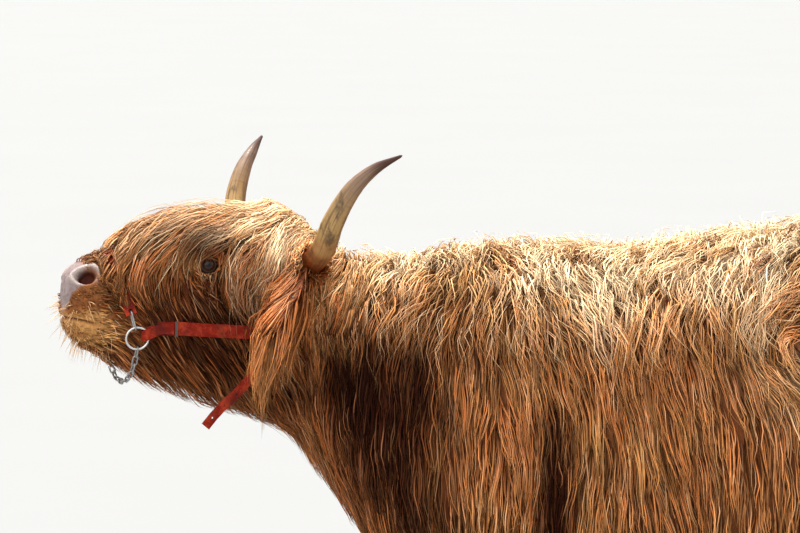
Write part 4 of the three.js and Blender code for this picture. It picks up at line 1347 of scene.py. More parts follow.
class Lie:
    """Length, direction and other facts of the coat at every point of the skin."""

    def __init__(self, skin):
        points, triangles = triangles_of(skin)
        self.surface = Surface(points, triangles)
        normals = self.surface.normals
        self.parts = Flesh().parts(points)
        rough_step = bpy.context.scene.cow_skin.rough_step
        outline = remeshed(mesh_from("outline", *node_triangles(BODY_NODES)), rough_step)
        self.outline = Surface(*triangles_of(outline))
        self.marks = {}
        for name in COAT_MARKS + ("pad", "inner", "lids"):
            self.marks[name] = np.zeros(len(points))
            skin.attributes[name].data.foreach_get("value", self.marks[name])
        site = Site(points, normals, self.parts)
        self.marks["umber"] *= 1 - site.ears
        fields = hair_fields(site)
        stacked = np.column_stack([*fields.values(), flow(site)])
        stacked = soften(stacked, edges_of(skin), len(points), 10)
        self.values = {name: stacked[:, index] for index, name in enumerate(fields)}
        along = stacked[:, len(fields) :]
        along = along - normals * np.einsum("ij,ij->i", along, normals)[:, None]
        self.directions = unit(along)
        spots, _ = self.outline.drop(points)
        self.room = np.linalg.norm(spots - points, axis=1)
        self.bare = np.maximum.reduce([self.marks[name] for name in ("pad", "inner", "lids")])

    def sample(self, faces, weights):
        """The fields at places on faces, by corner weights."""
        corners = self.surface.triangles[faces]
        found = {}
        for name, values in {**self.values, **self.marks, "room": self.room}.items():
            found[name] = np.einsum("ij,ij->i", values[corners], weights)
        return found


# ---- Growing tufts --------------------------------------------------------------------------

# Size of one tuft's patch on the OFBake map, and the free edge of the map.
UV_PATCH, UV_MARGIN = 0.003, 0.004
UV_SPAN = 1 - 2 * UV_MARGIN
# Heights of the long axes of head and trunk, round which their coat is laid out flat.
HEAD_AXIS, TRUNK_AXIS = 1.03, 0.80
# How far a tuft's root starts under the skin, and how close to it the rest may come.
ROOT_DEPTH, LEAST_HEIGHT = 0.002, 0.0015
# No hair comes closer than this to the line of the mouth or the middle of a nostril.
MOUTH_GAP, MOUTH_LENGTH, NOSTRIL_GAP = 0.0045, 0.058, 0.0185


def scatter(lie, picked, count, rng):
    """Roots on the picked faces, evenly by area; returns faces and corner weights."""
    chance = lie.surface.areas * picked
    faces = rng.choice(len(chance), size=count, p=chance / chance.sum())
    weights = rng.dirichlet((1.0, 1.0, 1.0), size=count)
    return faces, weights


def over_straps(places):
    """1 where the coat falls over the crown strap or the top of the noseband, 0 elsewhere."""
    _, back, height = to_head(places)
    crown = ease(back, 0.385, 0.41) * (1 - ease(back, 0.54, 0.58)) * ease(height, 0.97, 1.00)
    nose = ease(back, 0.06, 0.08) * (1 - ease(back, 0.15, 0.18)) * ease(height, 1.050, 1.072)
    return np.maximum(crown, nose * (1 - 0.25 * ease(height, 1.12, 1.16)))


def march(lie, roots, normals, faces, sizes, heights, hang, cling, growth):
    """Lays hairs from their roots over the skin; returns the path of each and its normals."""
    rings = growth.rings
    step = (sizes / (rings - 1))[:, None]
    corners = lie.surface.triangles
    path, lean = [roots - normals * ROOT_DEPTH], [normals]
    place, depth_over = roots, np.zeros(len(roots))
    heading = unit(lie.directions[corners[faces]].mean(axis=1))
    for ring in range(1, rings):
        local = unit(lie.directions[corners[faces]].mean(axis=1))
        heading = unit(heading * 0.55 + local * 0.75 * growth.follow + DOWN * hang[:, None])
        inward = np.minimum(np.einsum("ij,ij->i", heading, lean[-1]), 0)
        heading = unit(heading - lean[-1] * (inward * (depth_over < 0.015))[:, None])
        share_of_way = ring / (rings - 1)
        wanted = heights * math.sin(math.pi / 2 * min(1.0, share_of_way / 0.55))
        height, spots, now, faces = lie.surface.height(place + heading * step)
        free = height > wanted
        height = np.where(free, height + (wanted - height) * cling, wanted)
        ahead = place + heading * step
        place = ahead + now * (height - np.einsum("ij,ij->i", ahead - spots, now))[:, None]
        depth_over = height
        path.append(place)
        lean.append(now)
    return np.stack(path, axis=1), np.stack(lean, axis=1)


def nearest_of(points, leaders):
    """The nearest leader of each point."""
    tree = KDTree(len(leaders))
    for index, leader in enumerate(leaders.tolist()):
        tree.insert(leader, index)
    tree.balance()
    return np.array([tree.find(point)[1] for point in points.tolist()])


def gathered(path, lean, leaders, pull):
    """Draws hairs sideways towards the leader of their lock, more at the tips."""
    rings = path.shape[1]
    way = np.linspace(0, 1, rings)[None, :, None]
    guide = path[leaders]
    apart = (path[:, :1] - guide[:, :1]) * (1 - 0.86 * way)
    shift = (guide + apart - path) * pull[:, None, None] * way**0.7
    rise = np.einsum("ijk,ijk->ij", shift, lean)[..., None]
    return path + shift - lean * rise * 0.75


def waved(path, lean, sizes, amount, phase, turns):
    """Bends hairs into waves and loose curls."""
    rings = path.shape[1]
    way = np.linspace(0, 1, rings)[None, :]
    along = unit(np.gradient(path, axis=1))
    across = unit(np.cross(along, lean))
    angle = 2 * math.pi * turns[:, None] * way + phase[:, None]
    reach = (amount * sizes)[:, None] * way**0.8
    swing = (np.sin(angle) - np.sin(phase)[:, None]) * reach
    lift = (np.cos(angle) - np.cos(phase)[:, None]) * reach * 0.55
    return path + across * swing[..., None] + lean * lift[..., None]


def parted_round_eyes(path, rng):
    """Leads hairs past the eyes instead of over them, but for a few."""
    path = path.copy()
    stray = rng.random(len(path)) < 0.015
    for centre, mirror in ((EYE_LEFT, 1), (EYE_RIGHT, -1)):
        out, level, up = eye_axes(mirror)
        offset = path - centre
        a, b, c = offset @ level, offset @ up + 0.002, offset @ out
        reach = np.sqrt((a / 0.022) ** 2 + (b / 0.015) ** 2)
        push = np.where((reach < 1) & (c > 0) & ~stray[:, None], 1 / np.maximum(reach, 0.15) - 1, 0)
        path += level * (a * push)[..., None] + up * (b * push)[..., None]
    return path


def clear_of_openings(path, rng):
    """False for hairs over the mouth or a nostril, and for nearly all that hang over an eye."""
    seen = np.ones(len(path), bool)
    points = np.concatenate([path, (path[:, 1:] + path[:, :-1]) / 2], axis=1)
    _, behind, above_floor = to_head(points.reshape(-1, 3))
    off_line = np.abs(above_floor - np.interp(behind, *zip(*MOUTH_LINE)))
    on_mouth = (off_line < MOUTH_GAP) & (behind < MOUTH_LENGTH)
    seen &= ~on_mouth.reshape(len(path), -1).any(axis=1)
    side, back, height = NOSTRIL
    for centre, mirror in ((EYE_LEFT, 1), (EYE_RIGHT, -1)):
        out, level, up = eye_axes(mirror)
        offset = points - centre
        a, b, c = offset @ level, offset @ up + 0.001, offset @ out
        covering = ((a / 0.0165) ** 2 + (b / 0.0120) ** 2 < 1) & (c > 0)
        seen &= ~covering.any(axis=1) | (rng.random(len(path)) < 0.006)
        away = away_from(points, from_head(side * mirror, back, height))
        seen &= ~(away < NOSTRIL_GAP).any(axis=1)
    return seen


def tucked(places):
    """How far the hair keeps inside the solids under the throat and behind the poll."""
    y, z = places[:, 1], places[:, 2]
    return 0.016 * oval(y, z, THROAT_TUCK) + 0.036 * oval(y, z, POLL_TUCK)


def kept_close(lie, path, allowed, rng):
    """Keeps hairs near the outline, over the hidden straps and outside the skin."""
    count, rings, _ = path.shape
    flat = path[:, 1:].reshape(-1, 3)
    over, _, outer, _ = lie.outline.height(flat)
    wanted = np.minimum(over, np.repeat(allowed, rings - 1) - tucked(flat))
    clear = np.repeat(rng.uniform(0.008, 0.018, count), rings - 1)
    from_root = np.tile(ease(np.linspace(0, 1, rings)[1:], 0.05, 0.35), count)
    wanted = wanted + np.maximum(clear - wanted, 0) * over_straps(flat) * from_root
    flat = flat + outer * (wanted - over)[:, None]
    height, _, now, faces = lie.surface.height(flat)
    flat = flat + now * np.maximum(LEAST_HEIGHT - height, 0)[:, None]
    path = path.copy()
    path[:, 1:] = flat.reshape(count, rings - 1, 3)
    return path, faces.reshape(count, rings - 1)


def tuft_mesh(name, path, lean, widths, flat, twist, marks, patch):
    """Closed three-sided tufts along their paths, narrowing to a point."""
    count, rings, _ = path.shape
    way = np.linspace(0, 1, rings)
    along = unit(np.gradient(path, axis=1))
    across = unit(np.cross(along, lean))
    out = unit(np.cross(across, along))
    turn = twist[:, None, None]
    across, out = (
        across * np.cos(turn) + out * np.sin(turn),
        out * np.cos(turn) - across * np.sin(turn),
    )
    shape = np.interp(way, (0, 0.2, 0.6, 1.0), (0.75, 1.0, 0.75, 0.0))
    half = (widths[:, None] * shape / 2)[..., None]
    thick = half * flat
    left = path - across * half - out * thick * 0.5
    right = path + across * half - out * thick * 0.5
    ridge = path + out * thick
    body = np.stack([left[:, :-1], ridge[:, :-1], right[:, :-1]], axis=2)
    per = 3 * (rings - 1) + 1
    points = np.concatenate([body.reshape(count, -1, 3), path[:, -1:]], axis=1).reshape(-1, 3)

    faces = [(0, 1, 2)]
    for ring in range(rings - 2):
        for side in range(3):
            a, b = 3 * ring + side, 3 * ring + (side + 1) % 3
            faces += [(a, a + 3, b), (b, a + 3, b + 3)]
    last = 3 * (rings - 2)
    faces += [(last + side, per - 1, last + (side + 1) % 3) for side in range(3)]
    starts = np.arange(count)[:, None, None] * per
    triangles = (np.array(faces)[None] + starts).reshape(-1, 3)
    mesh = mesh_from(name, points, triangles)

    one_across = np.append(np.tile([0.0, 0.5, 1.0], rings - 1), 0.5)
    one_along = np.append(np.repeat(way[:-1], 3), 1.0)
    set_values(mesh, "across", np.tile(one_across, count))
    set_values(mesh, "along", np.tile(one_along, count))
    for key, values in marks.items():
        if values.ndim == 2:
            body = np.repeat(values[:, :-1], 3, axis=1)
            set_values(mesh, key, np.column_stack([body, values[:, -1]]).ravel())
        else:
            set_values(mesh, key, np.repeat(values, per))
    spot = np.stack([one_across - 0.5, one_along - 0.5], axis=1) * UV_PATCH
    places = (patch[:, None, :] + spot[None]).reshape(-1, 2)
    layer = mesh.uv_layers.new(name="OFBake")
    layer.data.foreach_set("uv", places[triangles.ravel()].astype(np.float32).ravel())
    return mesh


def unwrapped(places, kind):
    """Lays roots out flat, round the long axis of their part of the body, in a unit square."""
    if kind == "legs":
        return legs_unwrapped(places)
    if kind == "head":
        side, back, height = to_head(places)
        first, second = back, np.arctan2(side, height - HEAD_AXIS)
    elif kind == "upright":
        middle = np.median(places, axis=0)
        first, second = places[:, 2], np.arctan2(*(places - middle)[:, :2].T)
    else:
        first, second = places[:, 1], np.arctan2(places[:, 0], places[:, 2] - TRUNK_AXIS)
    flat = np.stack([first, second], axis=1)
    low, high = flat.min(axis=0), flat.max(axis=0)
    return UV_MARGIN + (flat - low) / (high - low) * UV_SPAN


def legs_unwrapped(places):
    """Lays the four legs out side by side."""
    quarter = (places[:, 0] > 0) * 1 + (places[:, 1] > 0.2) * 2
    flat = np.zeros((len(places), 2))
    for leg in range(4):
        own = quarter == leg
        if own.any():
            flat[own] = unwrapped(places[own], "upright")
            flat[own, 1] = UV_MARGIN + (leg + flat[own, 1] * 0.96) / 4 * UV_SPAN
    return flat


class Growth:
    """What sets one piece of the coat apart."""

    usual = {
        "scale": 1.0,  # length of its hair against the usual one
        "hang": 0.25,  # pull of its own weight
        "waves": (0.9, 1.6),  # fewest and most turns of a wave along a hair
        "amount": 0.055,  # swing of the waves against the length
        "cling": 0.45,  # how soon a hair that stands free falls back on the coat
        "follow": 1.0,  # how well the tips follow the lie of the coat
        "local": 0.4,  # how much a tuft's colour changes with the skin it crosses
        "gather": 1.0,  # how far its locks close
        "lowest": 0.0,  # its lowest layer, from 0 at the skin to 1 on top
        "rise": 0.0,  # how far its top layer may pass the solids
        "loose": 0.0,  # how far all of it may pass the solids
        "pale": 0.0,  # extra share of cream
    }

    def __init__(self, name, tufts, rings, width, unwrap, **extra):
        self.name = name
        self.tufts = tufts
        self.rings = rings
        self.width = width
        self.unwrap = unwrap
        for key, value in {**self.usual, **extra}.items():
            setattr(self, key, value)


BACK_HAIR = {"scale": 1.2, "hang": 0.10, "waves": (0.5, 1.1), "amount": 0.10, "rise": 0.010}
PIECES = (
    Growth("coat_flank_left_front", 5800, 7, 0.0032, "trunk", local=0.75),
    Growth("coat_flank_left_rear", 4000, 7, 0.0038, "trunk"),
    Growth("coat_flank_right_front", 2450, 7, 0.0044, "trunk"),
    Growth("coat_flank_right_rear", 2550, 7, 0.0044, "trunk"),
    Growth("coat_back_left", 4100, 6, 0.0034, "trunk", **BACK_HAIR),
    Growth("coat_back_right", 3500, 6, 0.0036, "trunk", **BACK_HAIR),
    Growth("coat_wisps", 2300, 6, 0.0014, "trunk", hang=0, waves=(0.6, 1.3), amount=0.14,
           gather=0.3, lowest=0.9, rise=0.016, pale=0.4),
    Growth("coat_neck_left", 3400, 7, 0.0030, "trunk", local=0.85),
    Growth("coat_neck_right", 2000, 7, 0.0040, "trunk", local=0.7),
    Growth("coat_face", 6500, 5, 0.0027, "head", amount=0.05, rise=0.003),
    Growth("coat_forelock", 3000, 7, 0.0030, "head", scale=1.15, waves=(0.7, 1.2), amount=0.04,
           local=0.75, rise=0.003),
    Growth("coat_strays", 150, 7, 0.0013, "head", scale=1.6, waves=(0.6, 1.2), amount=0.10,
           cling=0.15, gather=0.0, lowest=0.9, rise=0.012, pale=0.6),
    Growth("coat_ears", 2300, 7, 0.0028, "head", hang=0.5, amount=0.03, cling=0.10, follow=0.25,
           gather=0.6, lowest=0.2, rise=0.012, loose=1.0),
    Growth("coat_nape", 2100, 7, 0.0032, "head", scale=1.15, lowest=0.5, amount=0.04, hang=0.4),
    Growth("coat_legs", 3600, 5, 0.0038, "legs"),
    Growth("coat_tail", 1200, 7, 0.0046, "upright", hang=0.5, amount=0.03, cling=0.2),
)


def piece_faces(lie):
    """Which faces of the skin each piece of the coat grows on."""
    triangles = lie.surface.triangles
    middles = lie.surface.points[triangles].mean(axis=1)
    site = Site(middles, lie.surface.face_normals, lie.parts[triangles[:, 0]])
    trunk = site.trunk | site.udder
    top = trunk & (site.up > 0.62)
    flank = trunk & ~top
    left, front = site.x > 0, site.y < 0.22
    crown = site.head & (site.up > 0.28) & (site.back > 0.14)
    head_or_neck = site.head | site.neck
    return {
        "coat_flank_left_front": flank & left & front,
        "coat_flank_left_rear": flank & left & ~front,
        "coat_flank_right_front": flank & ~left & front,
        "coat_flank_right_rear": flank & ~left & ~front,
        "coat_back_left": top & left,
        "coat_back_right": top & ~left,
        "coat_wisps": (trunk | site.neck) & (site.up > 0.45) & (site.height > 1.0),
        "coat_neck_left": site.neck & left,
        "coat_neck_right": site.neck & ~left,
        "coat_face": site.head & ~crown,
        "coat_forelock": crown,
        "coat_strays": crown & (site.back > 0.22),
        "coat_ears": site.ears,
        "coat_nape": head_or_neck & (site.back > 0.40) & (site.back < 0.60) & (site.height > 1.05),
        "coat_legs": site.legs,
        "coat_tail": site.tail,
    }


class Tufts:
    """The tufts of one piece of the coat, from their roots to their colours."""

    # Hair of this length grows as thick as asked; shorter hair grows thicker, within limits.
    usual_size, crowding = 0.075, (0.8, 3.2)
    # Length of the hair whose locks are as far apart as the coat's setting says.
    lock_size, closest_locks = 0.14, 0.008
    # What a tuft loses in width against its length, so that short hair stays fine.
    slender, finest = 0.11, 0.0006

    def __init__(self, lie, growth, picked):
        self.lie = lie
        self.growth = growth
        self.coat = bpy.context.scene.cow_coat
        self.rng = np.random.default_rng(self.coat.seed + sum(map(ord, growth.name)))
        self.count = int(growth.tufts * self.coat.density)
        self.plant(picked)
        self.comb()
        self.gather(picked)
        self.trim()

    def plant(self, picked):
        """Drops roots on the skin, more of them where the coat is thick or short."""
        surface, values = self.lie.surface, self.lie.values
        thick, size = (values[name][surface.triangles].mean(axis=1) for name in ("thick", "size"))
        crowd = thick * np.clip(self.usual_size / np.maximum(size, 0.01), *self.crowding)
        clothed = 1 - self.lie.bare[surface.triangles].max(axis=1)
        found = scatter(self.lie, picked * clothed * crowd, self.count, self.rng)
        self.faces, weights = found
        corners = surface.triangles[self.faces]
        self.roots = np.einsum("ijk,ij->ik", surface.points[corners], weights)
        self.normals = unit(np.einsum("ijk,ij->ik", surface.normals[corners], weights))
        self.here = self.lie.sample(self.faces, weights)

    def comb(self):
        """Lays the hairs along the skin, each in its layer of the coat."""
        growth, here, rng = self.growth, self.here, self.rng
        self.sizes = here["size"] * growth.scale * rng.uniform(0.70, 1.20, self.count)
        self.layer = growth.lowest + (1 - growth.lowest) * rng.random(self.count)
        heights = here["room"] * (0.22 + 0.80 * self.layer) * here["stand"]
        heights = np.clip(heights + growth.rise * self.layer, 0.002, self.sizes * 0.85)
        self.under = ease(-self.normals[:, 2], 0.30, 0.75)
        hang = (growth.hang + 0.45 * self.under) * ease(self.sizes, 0.02, 0.08)
        cling = growth.cling * (1 - 0.75 * self.under)
        start = (self.roots, self.normals, self.faces)
        self.path, self.lean = march(self.lie, *start, self.sizes, heights, hang, cling, growth)

    def gather(self, picked):
        """Draws the hairs together in locks and gives each lock its wave."""
        growth, rng, count = self.growth, self.rng, self.count
        clump = self.coat.clump
        spacing = np.clip(clump * self.sizes.mean() / self.lock_size, self.closest_locks, clump)
        locks = max(8, int((self.lie.surface.areas * picked).sum() / spacing**2))
        chosen = rng.choice(count, size=min(locks, count), replace=False)
        self.leaders = chosen[nearest_of(self.roots, self.roots[chosen])]
        pull = self.coat.gather * growth.gather * rng.uniform(0.55, 1.0, count)
        path = gathered(self.path, self.lean, self.leaders, pull)
        phase = rng.uniform(0, 2 * math.pi, count)[self.leaders] + rng.normal(0, 0.35, count)
        turns = rng.uniform(*growth.waves, count)[self.leaders]
        amount = growth.amount * (0.4 + self.here["curl"]) * rng.uniform(0.6, 1.3, count)
        self.path = waved(path, self.lean, self.sizes, amount, phase, turns)

    def trim(self):
        """Keeps the hairs near the outline and off the eyes, the mouth and the nostrils."""
        growth, rng = self.growth, self.rng
        allowed = (self.coat.fuzz + growth.rise) * rng.random(self.count) ** 1.5 + growth.loose
        allowed = allowed + 0.009 * self.under * rng.random(self.count)
        path = parted_round_eyes(self.path, rng)
        self.path, self.below = kept_close(self.lie, path, allowed, rng)
        seen = clear_of_openings(self.path, rng)
        for name in ("roots", "normals", "path", "below", "lean", "layer", "leaders", "sizes"):
            setattr(self, name, getattr(self, name)[seen])
        self.here = {name: values[seen] for name, values in self.here.items()}
        self.lock_tone = rng.normal(0, 1, (3, self.count))[:, self.leaders]
        self.count = len(self.roots)

    def marks(self):
        """The colours along each tuft, from those of the skin at its root and under its tip."""
        growth, rng, lock_tone = self.growth, self.rng, self.lock_tone
        tone = 0.26 * lock_tone[0] + 0.18 * rng.normal(0, 1, self.count)
        tone = 0.5 + tone * (0.45 + 0.55 * ease(self.sizes, 0.015, 0.050))
        marks = {}
        for name in COAT_MARKS:
            at_root = self.here[name][:, None]
            crossed = self.lie.marks[name][self.lie.surface.triangles[self.below]].mean(axis=2)
            marks[name] = mix(at_root, np.column_stack([at_root, crossed]), growth.local)
        marks["cream"] = marks["cream"] * (0.95 + 0.35 * lock_tone[1])[:, None] + growth.pale
        marks["straw"] = marks["straw"] * (0.95 + 0.40 * lock_tone[2])[:, None]
        way = np.linspace(0, 1, growth.rings)[None]
        # Less umber towards the tips of hair under the body: painted rim light.
        tips = way * ease(-self.normals[:, 2], 0.0, 0.5)[:, None]
        marks["umber"] = marks["umber"] * (1.15 - 0.60 * tips)
        for name, values in marks.items():
            marks[name] = np.clip(values + rng.normal(0, 0.15, (self.count, 1)), 0, 1)
        # Lower layers darker: painted shade inside the coat.
        marks["tone"] = np.clip(tone + (self.layer - 0.5) * 0.45, 0.02, 1.0)
        return marks

    def mesh(self):
        """The tufts as one mesh."""
        growth, rng = self.growth, self.rng
        widths = growth.width * self.coat.width * rng.uniform(0.55, 1.25, self.count)
        widths = np.minimum(widths, self.sizes * self.slender + self.finest)
        marks = self.marks()
        patch = unwrapped(self.roots, growth.unwrap)
        twist = rng.normal(0, 0.45, self.count)
        return tuft_mesh(growth.name, self.path, self.lean, widths, 0.55, twist, marks, patch)


# ---- Horns, hooves, eyes and halter ---------------------------------------------------------

# How far horns and eyeballs stay inside their solids.
INSIDE = 0.0004
# Grain of the claws and dewclaws, and how far up a claw's flat sole reaches.
CLAW_STEP, DEWCLAW_STEP, SOLE = 0.0024, 0.0018, 0.0016
# A link with shorter straight sides than this is made as a round ring.
LEAST_STRAIGHT = 0.0005
# Middle line of the left horn in the head's directions, with its radius.
HORN_ROWS = (
    (0.096, 0.452, 1.134, 0.0260),
    (0.150, 0.458, 1.143, 0.0255),
    (0.212, 0.454, 1.172, 0.0240),
    (0.252, 0.458, 1.226, 0.0215),
    (0.280, 0.484, 1.286, 0.0175),
    (0.308, 0.518, 1.326, 0.0115),
    (0.350, 0.557, 1.354, 0.0025),
)


def horn_radii(steps):
    """The radius at each step along a horn, its corners smoothed away."""
    places = np.linspace(0, 1, len(HORN_ROWS))
    radii = np.interp(np.linspace(0, 1, steps), places, [row[3] for row in HORN_ROWS])
    return np.convolve(np.pad(radii, 3, "edge"), np.ones(7) / 7, "valid")


def make_horn(mirror):
    """A curved horn with growth rings at its base, fine furrows and a blunt tip."""
    steps, sides = 90, 36
    path, directions = curve_through([row[:3] for row in HORN_ROWS], steps)
    way = np.linspace(0, 1, steps)
    radii = horn_radii(steps)
    noise = Noise(21 + (mirror > 0))
    turns = np.linspace(0, 2 * math.pi, sides, endpoint=False)
    rings = []
    across = np.array([0.0, 1.0, 0.0])
    for step, direction in enumerate(directions):
        across = unit(across - direction * (across @ direction))
        other = np.cross(direction, across)
        spots = np.array([[math.cos(t) * 0.4, math.sin(t) * 0.4, way[step] * 9] for t in turns])
        furrows = noise.at(spots, 0.16) * 0.018 + noise.at(spots * (3, 3, 0.5), 0.16) * 0.012
        base = (1 - ease(way[step], 0.20, 0.55)) * 0.030
        growth = base * math.sin(way[step] * 120 + 1.5 * math.sin(way[step] * 31))
        radius = radii[step] * (1 + furrows + growth) - INSIDE
        if step == steps - 1:
            radius = radius * 0.3
        ring = path[step] + np.outer(np.cos(turns) * radius, across)
        ring = ring + np.outer(np.sin(turns) * radius, other)
        rings.append(np.array([from_head(mirror * p[0], p[1], p[2]) for p in ring])[::mirror])
    mesh = face_list_mesh("horn", *loft(rings))
    rounds = np.tile(np.abs(turns / math.pi - 1)[::mirror], steps)
    set_values(mesh, "along", np.append(np.repeat(way, sides), (0.0, 1.0)))
    set_values(mesh, "round", np.append(rounds, (0.5, 0.5)))
    return mesh


def make_hoof(node):
    """The claw's solid with soft edges, growth rings and a flat sole."""
    points, triangles = node_triangles([node])
    bottom = points[:, 2].min()
    step = CLAW_STEP if node.startswith("claw_") else DEWCLAW_STEP
    mesh = remeshed(mesh_from(node, points, triangles), step)
    points, triangles = triangles_of(mesh)
    points = soften(points, edges_of(mesh), len(points), 5)
    normals = Surface(points, triangles).normals
    wall = np.abs(normals[:, 2]) < 0.75
    rings = np.sin(points[:, 2] * 900 + 2 * Noise(2).at(points, 0.02)) * 0.00035
    points = points + normals * (rings * wall)[:, None]
    points = np.clip(points, *(np.array(corner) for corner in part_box(node)))
    points[points[:, 2] < bottom + SOLE, 2] = bottom
    mesh.vertices.foreach_set("co", points.astype(np.float32).ravel())
    mesh.update()
    mesh.shade_smooth()
    return mesh


def make_eye(centre, mirror):
    """An eyeball with a slightly raised cornea, facing out and a little forwards."""
    rows, sides = 36, 48
    axes = np.stack(eye_axes(mirror))
    turns = np.linspace(0, 2 * math.pi, sides, endpoint=False)
    rings, values = [], []
    for row in range(rows):
        tilt = math.pi * (row + 0.5) / rows
        raised = EYE_RADIUS * (1 + 0.05 * float(ease(math.cos(tilt), 0.66, 0.9))) - INSIDE
        parts = np.column_stack([turns, np.cos(turns), np.sin(turns)]) * math.sin(tilt)
        parts[:, 0] = math.cos(tilt)
        values.append(parts)
        rings.append(centre + (parts @ axes) * raised)
    points, faces = loft(rings)
    mesh = face_list_mesh("eyeball", points, [face[::-1] for face in faces])
    values = np.concatenate(values + [np.array([[1.0, 0, 0], [-1.0, 0, 0]])])
    for name, numbers in zip(("out", "level", "up"), values.T):
        set_values(mesh, name, numbers)
    return mesh


def make_link(node):
    """A smooth bent-wire ring or link in the place of the node's faceted one."""
    steps, sides = 56, 14
    points, _ = node_triangles([node])
    points = np.unique(np.round(points, 6), axis=0)
    middle = points.mean(axis=0)
    _, _, axes = np.linalg.svd(points - middle, full_matrices=False)
    local = (points - middle) @ axes.T
    low, high = local.min(axis=0), local.max(axis=0)
    middle = middle + ((low + high) / 2) @ axes
    long, wide, wire = (high - low) / 2
    straight = long - wide if long - wide > LEAST_STRAIGHT else 0.0
    rings = []
    for step in range(steps):
        turn = 2 * math.pi * step / steps
        outward = np.array([math.cos(turn), math.sin(turn), 0.0])
        centre = outward * (wide - wire)
        centre[0] += math.copysign(straight, outward[0])
        ring = []
        for angle in np.linspace(0, 2 * math.pi, sides, endpoint=False):
            off_centre = outward * math.cos(angle) + np.array([0, 0, math.sin(angle)])
            ring.append(middle + (centre + off_centre * wire) @ axes)
        rings.append(ring)
    rings.append(rings[0])
    points, faces = loft(rings, closed_ends=False)
    count = steps * sides
    faces = [tuple(corner % count for corner in face) for face in faces]
    return face_list_mesh(node, points[:count], faces)


def soften_node(node, edge, material):
    """Keeps a node of the frame, with rounded edges and a better finish."""
    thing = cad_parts[node]
    bevel = thing.modifiers.new("soft edges", "BEVEL")
    bevel.width = edge
    bevel.segments = 2
    bevel.limit_method = "ANGLE"
    bevel.angle_limit = math.radians(38)
    bevel.harden_normals = False
    thing.data.materials.clear()
    thing.data.materials.append(material)


def hair_line(root, direction, droop, size, rings):
    """One single hair as points on a falling curve."""
    way = np.linspace(0, 1, rings)[:, None]
    return root + direction * size * way + DOWN * droop * size * way**2


def make_hairs(name, paths, width, tone, material):
    """Single hairs, such as whiskers; tone gives their shares of umber, straw and cream."""
    path = np.array(paths)
    count = len(path)
    lean = np.broadcast_to(np.array([0.3, -0.2, 0.93]), path.shape)
    flat = np.zeros(count)
    umber, straw, cream = (flat + part for part in tone)
    marks = {"umber": umber, "rust": flat + 0.4, "straw": straw, "cream": cream}
    marks["tone"] = np.random.default_rng(4).uniform(0.35, 0.85, count)
    patch = unwrapped(path[:, 0], "head")
    mesh = tuft_mesh(name, path, lean, flat + width, 1.6, flat, marks, patch)
    return add_piece(name, mesh, material)


def make_whiskers(lie, material):
    """Sparse stiff hairs on the lips and chin."""
    rng = np.random.default_rng(15)
    middles = lie.surface.points[lie.surface.triangles].mean(axis=1)
    parts = lie.parts[lie.surface.triangles[:, 0]]
    _, back, height = to_head(middles)
    picked = is_part(parts, "head") & (back < 0.085) & (height < 1.075)
    faces, _ = scatter(lie, picked * 1.0, 150, rng)
    paths = []
    for face in faces:
        normal = lie.surface.face_normals[face]
        aim = unit(normal + HEAD_BACK * 0.25 + DOWN * 0.25 + rng.normal(0, 0.18, 3))
        root, size = middles[face] - normal * 0.001, rng.uniform(0.015, 0.040)
        paths.append(hair_line(root, aim, 0.25, size, 6))
    make_hairs("whiskers", paths, 0.0009, (0.0, 0.7, 0.5), material)


def make_horn_cuffs(material):
    """Hair that lies outwards over the root of each horn and droops a little."""
    rng = np.random.default_rng(17)
    steps, hairs_per_horn = 61, 300
    middle_line, _ = curve_through([row[:3] for row in HORN_ROWS], steps)
    way = np.linspace(0, 1, 6)
    paths, ups = [], []
    for mirror in (1, -1):
        for _ in range(hairs_per_horn):
            turn = rng.uniform(0, 2 * math.pi)
            forward, up = math.cos(turn), math.sin(turn)
            reach = way * rng.uniform(9, 21)
            side, back, height = (np.interp(reach, np.arange(steps), row) for row in middle_line.T)
            radii = 0.024 + 0.007 * way + rng.uniform(0, 0.012) * way
            droop = rng.uniform(0.006, 0.050) * (1 - 0.90 * max(up, 0.0))
            back = back + forward * radii - 0.014 * way**2
            height = height + up * radii - droop * way**2
            paths.append([from_head(mirror * a, b, c) for a, b, c in zip(side, back, height)])
            ups.append(up - 0.5 * forward)
    pale = np.clip(0.40 + 0.5 * np.array(ups) + rng.normal(0, 0.2, len(ups)), 0, 1)
    make_hairs("horn_cuffs", paths, 0.0030, (0.0, pale, pale * 0.7), material)


def make_lashes(material):
    """Lashes along the upper lids."""
    rng = np.random.default_rng(16)
    paths = []
    for centre, mirror in ((EYE_LEFT, 1), (EYE_RIGHT, -1)):
        out, level, up = eye_axes(mirror)
        for _ in range(70):
            a = rng.uniform(-0.85, 0.9)
            b = 0.60 * (1 - a * a) + 0.06
            c = math.sqrt(max(0.0, 1 - a * a - b * b))
            root = centre + (level * a + up * b + out * c) * EYE_RADIUS * 1.06
            aim = unit(out + up * 0.25 + level * a * 0.5 + rng.normal(0, 0.08, 3))
            paths.append(hair_line(root, aim, 0.45, rng.uniform(0.010, 0.018), 5))
    make_hairs("lashes", paths, 0.0008, (0.55, 0.2, 0.0), material)


# ---- Operators ------------------------------------------------------------------------------


class COW_OT_skin(bpy.types.Operator):
    """Makes the one skin that stands for all the solids of flesh"""

    bl_idname = "cow.skin"
    bl_label = "Skin"

    def execute(self, context):
        add_piece("skin", make_skin(), skin_finish(), FLESH_NODES)
        return {"FINISHED"}


